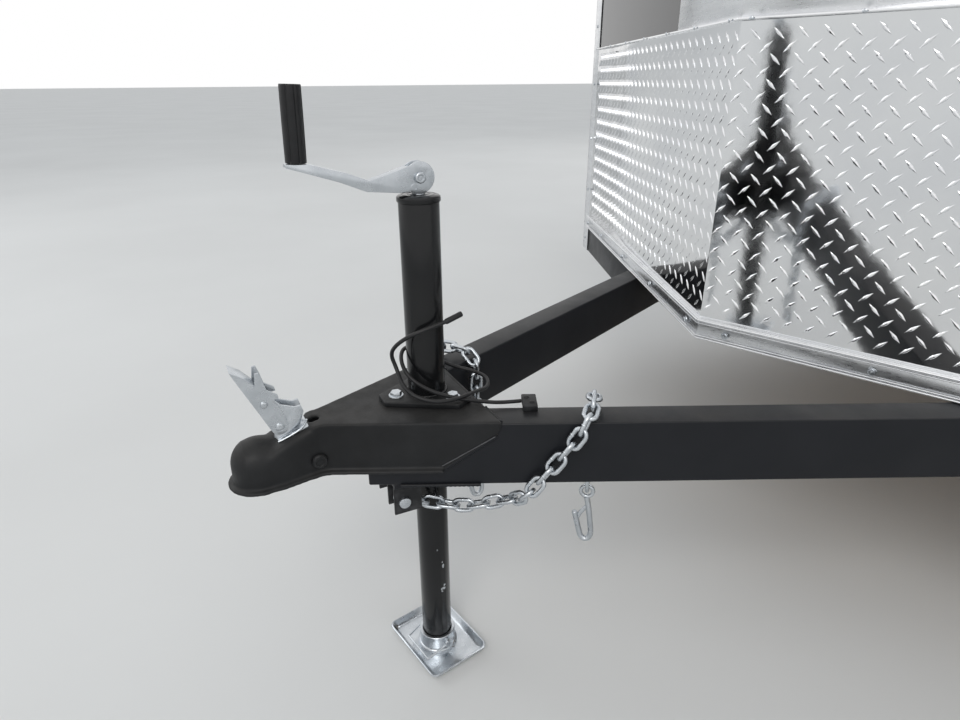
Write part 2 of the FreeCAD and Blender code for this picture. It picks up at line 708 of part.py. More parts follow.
# Crank: spindle head with its pivot pin, channel arm, grip
pivot = V(jack_x, 0, rail_top + crank_pivot_rise)
spindle_low = tube_top - 2.0 * jack_cap_height
spindle = rod(V(jack_x, 0, spindle_low), Z_AXIS, crank_spindle_radius, cap_top + running_gap - spindle_low)
head = rod(pivot - Y_AXIS * crank_head_half, Y_AXIS, crank_disc_radius - crank_web - fit_gap, 2.0 * crank_head_half)
head = head.cut(box(jack_x - 50.0, jack_x + 50.0, -50.0, 50.0, 0.0, cap_top + running_gap))
neck = box(jack_x - crank_spindle_radius, jack_x + crank_spindle_radius, -crank_head_half, crank_head_half,
           cap_top + running_gap, pivot.z)
head_pin = rod(pivot - Y_AXIS * crank_half_width, Y_AXIS, crank_pin_radius, 2.0 * crank_half_width)
pin_caps = both(rod(pivot - Y_AXIS * (crank_half_width + crank_pin_head), Y_AXIS,
                    crank_pin_head_radius, crank_pin_head))
save("crank_head", [fuse([spindle, neck, head, head_pin] + pin_caps)])
outline = [(jack_x + x, pivot.z + h) for x, h in crank_top + crank_low]
cheek_full = side(outline, -crank_half_width, crank_half_width)
disc = rod(pivot - Y_AXIS * crank_half_width, Y_AXIS, crank_disc_radius, 2.0 * crank_half_width)
arm = fuse([cheek_full, disc])
under = [(jack_x + x, pivot.z + h - crank_web) for x, h in crank_top]
slot = side([(jack_x + 50.0, pivot.z + 50.0)] + under[:-2]
            + [(under[-2][0], pivot.z - 50.0), (jack_x + 50.0, pivot.z - 50.0)],
            -crank_cheek_inner, crank_cheek_inner)
slot = slot.fuse(rod(pivot - Y_AXIS * crank_cheek_inner, Y_AXIS, crank_disc_radius + 1.0,
                     2.0 * crank_cheek_inner))
arm = arm.cut(slot).cut(rod(pivot - Y_AXIS * 50.0, Y_AXIS, crank_pin_hole, 100.0))
arm = max(arm.Solids, key=lambda s: s.Volume)
arm = arm.cut(box(jack_x - 60.0, jack_x + 60.0, -50.0, 50.0, 0.0, cap_top + running_gap))
save("crank_arm", [arm])
grip = rod(V(0, 0, 0), Z_AXIS, grip_radius, grip_length)
grip.rotate(V(0, 0, 0), Y_AXIS, grip_lean)
grip.translate(V(jack_x + grip_x, 0, pivot.z + grip_low))
save("crank_grip", [grip])

# Chain brackets and bolts under the tongue
brackets = []
bolts = []
bolt_z = rail_top - chain_bolt_drop
bracket_half = bracket_inner_half + bracket_wall
for s in (-1.0, 1.0):
    yc = s * chain_bolt_y
    cheeks = [box(bracket_front, bracket_rear, yc + lo, yc + lo + bracket_wall, rail_top - bracket_drop,
                  rail_low - lower_plate_thickness) for lo in (-bracket_half, bracket_inner_half)]
    hole = rod(V(chain_bolt_x, yc - 2.0 * bracket_half, bolt_z), Y_AXIS, chain_bolt_hole, 4.0 * bracket_half)
    brackets += [c.cut(hole) for c in cheeks]
    bolts.append(fuse([rod(V(chain_bolt_x, yc - bracket_half, bolt_z), Y_AXIS, chain_bolt_radius, 2.0 * bracket_half),
                       rod(V(chain_bolt_x, yc - bracket_half - chain_bolt_head, bolt_z), Y_AXIS,
                           chain_bolt_head_radius, chain_bolt_head),
                       rod(V(chain_bolt_x, yc + bracket_half, bolt_z), Y_AXIS,
                           chain_bolt_head_radius, chain_bolt_head)]))
save("chain_brackets", brackets)
save("chain_bolts", bolts)


def joints_along(route, pitch, count):
    """Points one pitch apart, measured straight, along a route."""
    points = [V(*p) for p in route]
    found = [points[0]]
    leg_at = 0
    while len(found) <= count:
        here = found[-1]
        while leg_at + 1 < len(points) and (points[leg_at + 1] - here).Length < pitch:
            leg_at += 1
        start, end = points[leg_at], points[leg_at + 1]
        if (start - here).Length > pitch:
            start = here
        low, high = 0.0, 1.0
        for _ in range(50):
            mid = (low + high) / 2.0
            if (start + (end - start) * mid - here).Length < pitch:
                low = mid
            else:
                high = mid
        found.append(start + (end - start) * high)
    return found


def link_solid():
    """One link, an eight-sided ring of square wire, long side along x, lying in the xz plane."""
    half_l, half_w = link_length / 2.0, link_width / 2.0

    def ring(l, w, c):
        return [(l, w - c), (l - c, w), (-l + c, w), (-l, w - c), (-l, -w + c), (-l + c, -w), (l - c, -w), (l, -w + c)]

    outer = side(ring(half_l, half_w, link_corner), -link_wire / 2.0, link_wire / 2.0)
    inner = side(ring(half_l - link_wire, half_w - link_wire, link_corner / 2.0), -link_wire, link_wire)
    return outer.cut(inner)


def chain_along(route):
    """The links along a route, each turned a quarter from the last, and the last joint's frame."""
    joints = joints_along(route, link_pitch, link_count)
    along = (joints[1] - joints[0]).normalize()
    normal = (Y_AXIS - along * Y_AXIS.dot(along)).normalize()
    links = []
    for k in range(link_count):
        new = (joints[k + 1] - joints[k]).normalize()
        if along.getAngle(new) > turn_floor:
            normal = FreeCAD.Rotation(along, new).multVec(normal)
            normal = (normal - new * normal.dot(new)).normalize()
        along = new
        face = normal if k % 2 == 0 else along.cross(normal)
        link = link_solid()
        link.Placement = frame_of((joints[k] + joints[k + 1]) * 0.5, along, face)
        links.append(link)
    return links, joints[-1], along, normal


def frame_of(centre, along, normal):
    third = along.cross(normal)
    return FreeCAD.Placement(FreeCAD.Matrix(along.x, normal.x, third.x, centre.x,
                                            along.y, normal.y, third.y, centre.y,
                                            along.z, normal.z, third.z, centre.z,
                                            0, 0, 0, 1))


# Safety chains, draped over the tongue rails, and their hooks
chains = []
hooks = []
for name, route in (("near", near_chain_route), ("far", far_chain_route)):
    links, last, along, normal = chain_along(route)
    print(name, "chain ends", [round(v, 1) for v in last], "along", [round(v, 2) for v in along],
          "normal", [round(v, 2) for v in normal])
    chains += links
    eye = rod(V(0, -hook_half_thickness, 0), Y_AXIS, hook_eye_outer, 2.0 * hook_half_thickness)
    shank = side([(x, z) for x, z in hook_profile], -hook_half_thickness, hook_half_thickness)
    hook = fuse([eye, shank]).cut(rod(V(0, -10.0, 0), Y_AXIS, hook_eye_inner, 20.0))
    hook = max(hook.Solids, key=lambda s: s.Volume)
    across = V(normal.x, normal.y, 0).normalize()
    if across.y < 0:
        across = across * -1.0
    fore = across.cross(Z_AXIS)
    centre = last + along * ((link_wire + hook_eye_inner + hook_eye_outer) / 2.0 - (link_length - link_pitch) / 2.0)
    hook.Placement = FreeCAD.Placement(FreeCAD.Matrix(fore.x, across.x, 0, centre.x,
                                                      fore.y, across.y, 0, centre.y,
                                                      0, 0, 1, centre.z,
                                                      0, 0, 0, 1))
    hooks.append(hook)
save("safety_chains", chains)
save("chain_hooks", hooks)

# Wiring cable, coiled round the jack, with the sleeve at its free end and its clamp on the rail


def cord(points, radius):
    """A tube of straight runs joined by tangent arcs."""
    points = [V(*p) for p in points]
    edges = []
    here = points[0]
    tightest = 1e9
    for i in range(1, len(points) - 1):
        back = (points[i - 1] - points[i])
        ahead = (points[i + 1] - points[i])
        turn = math.pi - back.getAngle(ahead)
        cut = 0.45 * min(back.Length, ahead.Length)
        bend = cut / math.tan(turn / 2.0)
        tightest = min(tightest, bend)
        start = points[i] + back.normalize() * cut
        end = points[i] + ahead.normalize() * cut
        middle_way = (back + ahead).normalize()
        middle = points[i] + middle_way * (bend / math.cos(turn / 2.0) - bend)
        edges.append(Part.LineSegment(here, start).toShape())
        edges.append(Part.Arc(start, middle, end).toShape())
        here = end
    edges.append(Part.LineSegment(here, points[-1]).toShape())
    path = Part.Wire(edges)
    ring = Part.Wire(Part.makeCircle(radius, points[0], points[1] - points[0]))
    tube = path.makePipeShell([ring], True, False)
    print("cord length", round(path.Length, 1), "tightest bend", round(tightest, 1),
          "volume over section times length", round(tube.Volume / (math.pi * radius ** 2 * path.Length), 4))
    return tube


save("wiring_cable", [cord(cable_route, cable_radius)])
cable_end = V(*cable_route[-1])
sleeve_way = (V(*sleeve_end) - cable_end).normalize()
save("cable_sleeve", [rod(cable_end + sleeve_way * fit_gap, sleeve_way, sleeve_radius,
                          (V(*sleeve_end) - cable_end).Length)])
save("cable_clamp", [along_tongue(box(clamp_start, clamp_start + clamp_length, clamp_low_u, clamp_high_u,
                                      rail_top, rail_top + clamp_height))])

# Axle, springs, hangers
beam_half = tyre_centre_y - 83.0
beam = rod(V(axle_x, -beam_half, axle_z), Y_AXIS, axle_radius, 2.0 * beam_half)
for s in (-1.0, 1.0):
    beam = beam.fuse(rod(V(axle_x, s * beam_half, axle_z), V(0, s, 0), spindle_radius, spindle_length))
save("axle_beam", [beam])
arc_radius = (spring_half_span ** 2 + spring_rise ** 2) / (2.0 * spring_rise)
arc_centre_z = spring_mid + arc_radius
springs = []
for s in (-1.0, 1.0):
    y0 = s * spring_y - spring_width / 2
    leaves = []
    for k, half in enumerate((spring_half_span,) + short_leaf_half_spans):
        outer_r = arc_radius + leaf_thickness * (k + 1)
        inner_r = arc_radius + leaf_thickness * k
        half_angle = math.asin(half / arc_radius)
        ring = pipe(V(axle_x, y0, arc_centre_z), Y_AXIS, outer_r, inner_r, spring_width)
        drop = outer_r * 1.2
        wedge = side([(axle_x, arc_centre_z),
                      (axle_x - drop * math.tan(half_angle), arc_centre_z - drop),
                      (axle_x + drop * math.tan(half_angle), arc_centre_z - drop)],
                     y0 - 1.0, y0 + spring_width + 1.0)
        leaves.append(ring.common(wedge))
    for e in (-1.0, 1.0):
        leaves.append(rod(V(axle_x + e * spring_half_span, y0, eye_z), Y_AXIS, eye_radius, spring_width))
    springs.append(fuse(leaves))
save("leaf_springs", springs)
hangers = []
for s in (-1.0, 1.0):
    for e in (-1.0, 1.0):
        hx = axle_x + e * spring_half_span
        for side_y in (-spring_width / 2 - hanger_thickness - fit_gap, spring_width / 2 + fit_gap):
            y0 = s * spring_y + side_y
            hangers.append(side([(hx - 30, rail_low), (hx - 16, eye_z - 16), (hx + 16, eye_z - 16),
                                 (hx + 30, rail_low)], y0, y0 + hanger_thickness))
save("spring_hangers", hangers)
clamps = []
leaf_stack = leaf_thickness * (1 + len(short_leaf_half_spans))
for s in (-1.0, 1.0):
    yc = s * spring_y
    clamps.append(box(axle_x - 45, axle_x + 45, yc - spring_width / 2, yc + spring_width / 2,
                      spring_mid + fit_gap, axle_z - axle_radius - fit_gap).cut(
        pipe(V(axle_x, yc - spring_width, arc_centre_z), Y_AXIS, arc_radius + 60.0, arc_radius - fit_gap,
             2.0 * spring_width)))
    clamps.append(box(axle_x - 50, axle_x + 50, yc - 45, yc + 45, spring_mid - leaf_stack - 8.0 - fit_gap,
                      spring_mid - leaf_stack - fit_gap))
save("spring_plates", clamps)

# Fenders
fender_arc = pipe(V(axle_x, -fender_outer_y, axle_z), Y_AXIS, fender_radius, fender_radius - fender_thickness,
                  fender_outer_y - body_half_width)
fender_edge = pipe(V(axle_x, -fender_outer_y, axle_z), Y_AXIS, fender_radius, fender_radius - fender_lip,
                   fender_thickness)
fender = fuse([fender_arc, fender_edge]).cut(
    box(axle_x - 2.0 * fender_radius, axle_x + 2.0 * fender_radius, -2.0 * fender_outer_y, 0.0,
        -fender_radius, axle_z + 20.0))
save("fenders", both(fender))

# Wheels and tyres
half_width = tyre_width / 2.0
tyre_profile = [(bead_radius, -70.0), (bead_radius + 75.0, -half_width), (tyre_radius - 18.0, -half_width + 5.0),
                (tyre_radius, -half_width + 27.0), (tyre_radius, half_width - 27.0),
                (tyre_radius - 18.0, half_width - 5.0), (bead_radius + 75.0, half_width), (bead_radius, 70.0)]
rim_outer = bead_radius - fit_gap
wheel_profile = [(rim_outer, -74.0), (rim_outer, -42.0), (rim_outer - 22.0, -28.0), (rim_outer - 22.0, 28.0),
                 (rim_outer, 42.0), (rim_outer, 74.0), (rim_outer - 4.0, 74.0), (rim_outer - 4.0, 44.0),
                 (rim_outer - 26.0, 31.0), (rim_outer - 26.0, 8.0), (118.0, 14.0), (70.0, 2.0), (36.0, 2.0),
                 (34.0, 34.0), (hub_bore, 34.0), (hub_bore, -78.0), (40.0, -78.0), (40.0, -8.0),
                 (72.0, -8.0), (118.0, 6.0), (rim_outer - 26.0, -2.0), (rim_outer - 26.0, -31.0),
                 (rim_outer - 4.0, -44.0), (rim_outer - 4.0, -74.0)]
for s, side_name in ((-1.0, "left"), (1.0, "right")):
    centre = V(axle_x, s * tyre_centre_y, axle_z)
    save("wheel_" + side_name, [faceted_ring(wheel_profile, wheel_sides, centre, s)])
    save("tyre_" + side_name, [faceted_ring(tyre_profile, tyre_sides, centre, s)])

# Side door with its hinge straps and knuckles
door_leaf = box(side_door_front + door_gap, side_door_rear - door_gap, inner_half, body_half_width,
                side_door_low + door_gap, side_door_high - door_gap)
hinge_x = side_door_front - side_hinge_offset
hinge_y = body_half_width + side_hinge_out
door_parts = [door_leaf]
fixed_hinges = []
pin_holes = []
for hz in [side_door_low + r for r in side_hinge_rises]:
    low, high = hz, hz + side_hinge_length
    door_parts += [box(hinge_x, side_door_front + side_hinge_strap, body_half_width,
                       body_half_width + strap_thickness, low, high),
                   rod(V(hinge_x, hinge_y, low), Z_AXIS, side_hinge_radius, side_hinge_length),
                   box(hinge_x, hinge_x + 5.0, body_half_width, hinge_y, low, high)]
    pin_holes.append(rod(V(hinge_x, hinge_y, low - 1.0), Z_AXIS, hinge_pin_hole, side_hinge_length + 2.0))
    low = high + running_gap
    high = low + side_hinge_length
    fixed_hinges.append(fuse([
        box(side_door_front - side_hinge_strap, hinge_x, body_half_width, body_half_width + strap_thickness,
            low, high),
        rod(V(hinge_x, hinge_y, low), Z_AXIS, side_hinge_radius, side_hinge_length),
        box(hinge_x - 5.0, hinge_x, body_half_width, hinge_y, low, high),
        rod(V(hinge_x, hinge_y, hz), Z_AXIS, hinge_pin_radius, side_hinge_length + 2.0 * running_gap)]))
side_door = fuse(door_parts)
for hole in pin_holes:
    side_door = side_door.cut(hole)
save("side_door", [side_door])
save("side_door_hinges", fixed_hinges)
lock_rear = side_door_rear - lock_set_in
lock_low = side_door_low + lock_rise
save("side_door_lock", [box(lock_rear - lock_width, lock_rear, body_half_width, body_half_width + lock_thickness,
                            lock_low, lock_low + lock_height)])

# Ramp door with its hinge knuckles
ramp_half_width = body_half_width - rear_post_width - door_gap
ramp_bottom = rail_top + ramp_lift
ramp_top = roof_top - rear_header_height - door_gap
ramp_hinge_x = ramp_outer_x + ramp_hinge_out
ramp_hinge_z = rail_top - ramp_hinge_drop
ramp_parts = [box(ramp_inner_x, ramp_outer_x, -ramp_half_width, ramp_half_width, ramp_bottom, ramp_top)]
fixed = []
pin_holes = []
for y in ramp_hinge_places:
    end = y + ramp_hinge_length
    ramp_parts.append(rod(V(ramp_hinge_x, y, ramp_hinge_z), Y_AXIS, ramp_hinge_radius, ramp_hinge_length))
    ramp_parts.append(box(ramp_outer_x, ramp_hinge_x + 5.0, y, end, ramp_hinge_z, ramp_bottom + ramp_strap_height))
    pin_holes.append(rod(V(ramp_hinge_x, y - 1.0, ramp_hinge_z), Y_AXIS, hinge_pin_hole, ramp_hinge_length + 2.0))
    start = end + running_gap
    fixed.append(fuse([
        rod(V(ramp_hinge_x, start, ramp_hinge_z), Y_AXIS, ramp_hinge_radius, ramp_hinge_length),
        box(rear_frame_rear, ramp_hinge_x, start, start + ramp_hinge_length, ramp_hinge_z - ramp_hinge_web,
            ramp_hinge_z + ramp_hinge_drop),
        rod(V(ramp_hinge_x, y, ramp_hinge_z), Y_AXIS, hinge_pin_radius, ramp_hinge_length + 2.0 * running_gap)]))
ramp = fuse(ramp_parts)
for hole in pin_holes:
    ramp = ramp.cut(hole)
save("ramp_door", [ramp])
save("ramp_hinges", fixed)
save("ramp_locks", both(rod(V(ramp_outer_x + lock_bar_radius + fit_gap, -lock_bar_y, ramp_bottom + lock_bar_margin),
                            Z_AXIS, lock_bar_radius, ramp_top - ramp_bottom - 2.0 * lock_bar_margin)))

whole = Part.makeCompound(saved).BoundBox
print("whole", [round(v, 2) for v in (whole.XMin, whole.XMax, whole.YMin, whole.YMax, whole.ZMin, whole.ZMax)])
print("nodes", len(saved), "half length", overall_length / 2.0, "rail top", rail_top, "corner", corner_x,
      "axle", axle_x, "rear", rear_frame_rear, "ramp hinge", ramp_hinge_x, ramp_hinge_z,
      "side hinge", hinge_x, hinge_y, "tyre y", tyre_centre_y)
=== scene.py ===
import json
import random
from math import cos, pi, radians, sin, sqrt, tan

import bmesh
import bpy
from mathutils import Matrix, Vector


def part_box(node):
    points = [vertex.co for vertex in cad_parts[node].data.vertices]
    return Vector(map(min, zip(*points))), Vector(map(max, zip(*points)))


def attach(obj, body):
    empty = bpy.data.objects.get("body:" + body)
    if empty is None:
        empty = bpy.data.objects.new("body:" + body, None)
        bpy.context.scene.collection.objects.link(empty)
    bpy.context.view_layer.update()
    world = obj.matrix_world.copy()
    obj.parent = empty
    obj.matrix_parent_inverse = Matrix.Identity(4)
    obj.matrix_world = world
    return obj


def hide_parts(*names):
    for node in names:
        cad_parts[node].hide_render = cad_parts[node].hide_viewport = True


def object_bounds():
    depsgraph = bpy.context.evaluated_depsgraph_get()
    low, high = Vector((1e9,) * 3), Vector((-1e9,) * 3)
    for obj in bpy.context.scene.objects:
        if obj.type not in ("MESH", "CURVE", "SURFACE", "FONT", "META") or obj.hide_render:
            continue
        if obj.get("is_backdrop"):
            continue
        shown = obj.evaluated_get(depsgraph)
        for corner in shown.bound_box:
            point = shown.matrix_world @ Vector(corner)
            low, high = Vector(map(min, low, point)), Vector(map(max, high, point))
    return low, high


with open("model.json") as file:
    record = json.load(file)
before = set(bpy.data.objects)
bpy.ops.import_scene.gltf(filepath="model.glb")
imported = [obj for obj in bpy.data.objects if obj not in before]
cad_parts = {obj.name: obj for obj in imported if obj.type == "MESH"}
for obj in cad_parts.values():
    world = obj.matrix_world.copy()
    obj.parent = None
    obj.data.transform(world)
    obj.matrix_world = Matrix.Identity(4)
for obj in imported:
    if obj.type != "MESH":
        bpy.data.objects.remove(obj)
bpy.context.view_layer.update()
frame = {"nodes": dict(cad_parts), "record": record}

# Lengths are in millimetres, with x measured back from the coupler's tip. Bevels, tube radii and
# everything that at() returns are in metres.
HALF_LENGTH = 2480.821917
TONGUE_APEX = 90
TONGUE_ANGLE = radians(25)
NOSE_APEX = 855
NOSE_SWEEP = radians(23)
JACK_X = 305
AXLE_X = 3298.7438
AXLE_Z = 331
TYRE_Y = 1118.1
CORNER_X = 1278.7438
REAR_X = 4936.3438
BODY_HALF_WIDTH = 990.6
WALL_FACE = 990.4
GUARD_EDGE = 930.6
SIDES = (-1, 1)
UP = (0, 0, 1)


def at(x, y, z):
    return Vector(((x - HALF_LENGTH) / 1000, y / 1000, z / 1000))


def placed(centre, *axes):
    """The matrix that puts a local point at a centre, along three axes."""
    return Matrix.Translation(centre) @ Matrix(axes).transposed().to_4x4()


record = frame["record"]
SLOT_OF = {s["node"]: s["material_slot"] for s in record["subparts"]}
BODY_OF = {n: b for b, names in record["behaviour"]["bodies"].items() for n in names}

# Camera, fitted to the photograph
CAMERA_SPOT = at(-6.04, -836.47, 961.48)
scene = bpy.context.scene
yaw, pitch, roll = radians(25.71), radians(23.61), radians(-0.38)
fwd = Vector((sin(yaw) * cos(pitch), cos(yaw) * cos(pitch), -sin(pitch)))
right = Vector((cos(yaw), -sin(yaw), 0))
up = right.cross(fwd)
right_rolled = right * cos(roll) + up * sin(roll)
up_rolled = up * cos(roll) - right * sin(roll)
lens_data = bpy.data.cameras.new("camera")
lens_data.sensor_width = 36
lens_data.lens = 23.94
lens_data.clip_start = 0.05
lens_data.clip_end = 500
camera = bpy.data.objects.new("camera", lens_data)
scene.collection.objects.link(camera)
camera.matrix_world = placed(CAMERA_SPOT, right_rolled, up_rolled, -fwd)
scene.camera = camera
scene.view_settings.view_transform = "Standard"


# Materials
DUST_COLOUR = (0.16, 0.145, 0.125)


def surface(name, base, second, metallic=0, rough=(0.3, 0.4), cloud=8, stretch=(1, 1, 1),
            rough_scale=30, bumps=(), coat=0, coat_rough=0.05, dust=0, wear=0,
            worn_and_highlight=(0.3, 0.3, 0.31), spots=None, specular=0.5, sheen=0):
    """A painted, plated or moulded surface: two clouded colours, uneven gloss, fine bumps, and optional
    dust on what faces up, wear on edges and spots of another colour."""
    mat = bpy.data.materials.new(name)
    mat.use_nodes = True
    tree = mat.node_tree
    tree.nodes.clear()
    new, link = tree.nodes.new, tree.links.new
    out = new("ShaderNodeOutputMaterial")
    bsdf = new("ShaderNodeBsdfPrincipled")
    link(bsdf.outputs[0], out.inputs[0])
    for key, value in (("Metallic", metallic), ("Coat Weight", coat), ("Coat Roughness", coat_rough),
                       ("Specular IOR Level", specular), ("Sheen Weight", sheen)):
        bsdf.inputs[key].default_value = value
    coords = new("ShaderNodeTexCoord")
    mapping = new("ShaderNodeMapping")
    mapping.inputs["Scale"].default_value = stretch
    link(coords.outputs["Object"], mapping.inputs[0])

    def noise(scale, detail=5, roughness=0.55, seed=0):
        node = new("ShaderNodeTexNoise")
        node.noise_dimensions = "4D"
        for key, value in (("W", seed), ("Scale", scale), ("Detail", detail), ("Roughness", roughness)):
            node.inputs[key].default_value = value
        link(mapping.outputs[0], node.inputs["Vector"])
        return node.outputs[0]

    def spread(value, low, high, to_low=0, to_high=1):
        node = new("ShaderNodeMapRange")
        for socket, limit in zip(node.inputs[1:5], (low, high, to_low, to_high)):
            socket.default_value = limit
        link(value, node.inputs[0])
        return node.outputs[0]

    def times(a, b):
        node = new("ShaderNodeMath")
        node.operation = "MULTIPLY"
        link(a, node.inputs[0])
        link(b, node.inputs[1])
        return node.outputs[0]

    def blend(share, colour_a, colour_b):
        node = new("ShaderNodeMix")
        node.data_type = "RGBA"
        link(share, node.inputs[0])
        for socket, colour in ((node.inputs[6], colour_a), (node.inputs[7], colour_b)):
            if isinstance(colour, tuple):
                socket.default_value = (*colour, 1)
            else:
                link(colour, socket)
        return node.outputs[2]

    colour = blend(spread(noise(cloud), 0.35, 0.65), base, second)
    if spots:
        spot_colour, spot_scale, threshold = spots
        colour = blend(spread(noise(spot_scale, 3, 0.6, 4), threshold, threshold + 0.03), colour,
                       spot_colour)
    geometry = new("ShaderNodeNewGeometry")
    if wear:
        edge = spread(geometry.outputs["Pointiness"], 0.53, 0.6, 0, wear)
        colour = blend(times(edge, spread(noise(55, 4, 0.6, 7), 0.42, 0.62)), colour, worn_and_highlight)
    if dust:
        split = new("ShaderNodeSeparateXYZ")
        link(geometry.outputs["Normal"], split.inputs[0])
        share = times(spread(split.outputs[2], 0.2, 1, 0, dust),
                      spread(noise(14, 6, 0.65, 2), 0.3, 0.7))
        colour = blend(share, colour, DUST_COLOUR)
    link(colour, bsdf.inputs["Base Color"])
    link(spread(noise(rough_scale, 4, 0.6, 3), 0.3, 0.7, rough[0], rough[1]), bsdf.inputs["Roughness"])
    normal = None
    for scale, strength, distance in bumps:
        bump = new("ShaderNodeBump")
        bump.inputs["Strength"].default_value = strength
        bump.inputs["Distance"].default_value = distance
        link(noise(scale, 3, 0.5, scale), bump.inputs["Height"])
        if normal is not None:
            link(normal, bump.inputs["Normal"])
        normal = bump.outputs[0]
    if normal is not None:
        link(normal, bsdf.inputs["Normal"])
    return mat


# What each slot looks like, as surface() takes it
LOOKS = {
    "frame_black": dict(
        base=(0.01, 0.011, 0.0135), second=(0.015, 0.016, 0.019), rough=(0.3, 0.46), cloud=5,
        rough_scale=12, bumps=((900, 0.25, 0.0004), (60, 0.1, 0.001)), dust=0.16,
        spots=((0.05, 0.052, 0.056), 22, 0.74), specular=0.2),
    "coupler_black": dict(
        base=(0.0105, 0.0108, 0.0115), second=(0.0165, 0.017, 0.018), rough=(0.42, 0.6), cloud=16,
        rough_scale=40, bumps=((1100, 0.35, 0.0005), (140, 0.12, 0.001)), dust=0.12, wear=0.35,
        worn_and_highlight=(0.1, 0.1, 0.105), specular=0.22),
    "jack_black": dict(
        base=(0.006, 0.0062, 0.0068), second=(0.0095, 0.0098, 0.0105), rough=(0.16, 0.26), cloud=9,
        bumps=((420, 0.08, 0.0004),), coat=0.1, coat_rough=0.08, dust=0.05, specular=0.28,
        spots=((0.22, 0.22, 0.21), 70, 0.765)),
    "zinc": dict(
        base=(0.5, 0.53, 0.56), second=(0.6, 0.63, 0.66), metallic=1, rough=(0.22, 0.36), cloud=30,
        rough_scale=60, bumps=((600, 0.04, 0.0003), (60, 0.03, 0.0006))),
    "cable_black": dict(
        base=(0.012, 0.012, 0.013), second=(0.02, 0.02, 0.021), rough=(0.4, 0.55), cloud=60,
        bumps=((900, 0.15, 0.0003),), dust=0.1, specular=0.3),
    "grip_black": dict(
        base=(0.011, 0.011, 0.012), second=(0.017, 0.017, 0.018), rough=(0.34, 0.48), cloud=50,
        bumps=((1400, 0.2, 0.0002),), dust=0.06, specular=0.25),
    "tread_plate": dict(
        base=(0.8, 0.81, 0.83), second=(0.88, 0.885, 0.89), metallic=1, rough=(0.05, 0.11), cloud=4,
        rough_scale=18, bumps=((14, 0.25, 0.0016), (900, 0.04, 0.0002))),
    "bright_trim": dict(
        base=(0.72, 0.73, 0.75), second=(0.84, 0.85, 0.86), metallic=1, rough=(0.24, 0.36), cloud=10,
        stretch=(1, 1, 8), rough_scale=60, bumps=((220, 0.08, 0.0004),)),
    "black_skin": dict(
        base=(0.0065, 0.0068, 0.0075), second=(0.0085, 0.0088, 0.0096), rough=(0.1, 0.16), cloud=2,
        rough_scale=6, bumps=((9, 0.2, 0.0012), (700, 0.03, 0.0002)), coat=0.2, coat_rough=0.04,
        dust=0.08, specular=0.35),
    "roof_skin": dict(
        base=(0.6, 0.61, 0.62), second=(0.7, 0.71, 0.72), metallic=0.9, rough=(0.3, 0.42), cloud=3,
        bumps=((6, 0.3, 0.002),), dust=0.25),
    "plywood": dict(
        base=(0.42, 0.27, 0.14), second=(0.6, 0.43, 0.26), rough=(0.5, 0.68), cloud=7,
        stretch=(0.6, 9, 2), bumps=((60, 0.25, 0.0008),), dust=0.1),
    "lamp_red": dict(
        base=(0.42, 0.008, 0.01), second=(0.52, 0.014, 0.016), rough=(0.08, 0.14), cloud=60,
        bumps=((260, 0.25, 0.0005),), coat=0.8),
    "wheel_silver": dict(
        base=(0.56, 0.57, 0.58), second=(0.64, 0.65, 0.66), metallic=0.65, rough=(0.26, 0.36), cloud=20,
        bumps=((900, 0.12, 0.0002),), dust=0.15),
    "tyre_black": dict(
        base=(0.014, 0.014, 0.0145), second=(0.024, 0.0235, 0.023), rough=(0.58, 0.75), cloud=25,
        bumps=((700, 0.35, 0.0005),), dust=0.2, sheen=0.1),
}
MATERIALS = {name: surface(name, **look) for name, look in LOOKS.items()}


def round_axes(axis):
    """A unit axis and two directions across it."""
    axis = Vector(axis).normalized()
    across = axis.orthogonal().normalized()
    return axis, across, axis.cross(across)


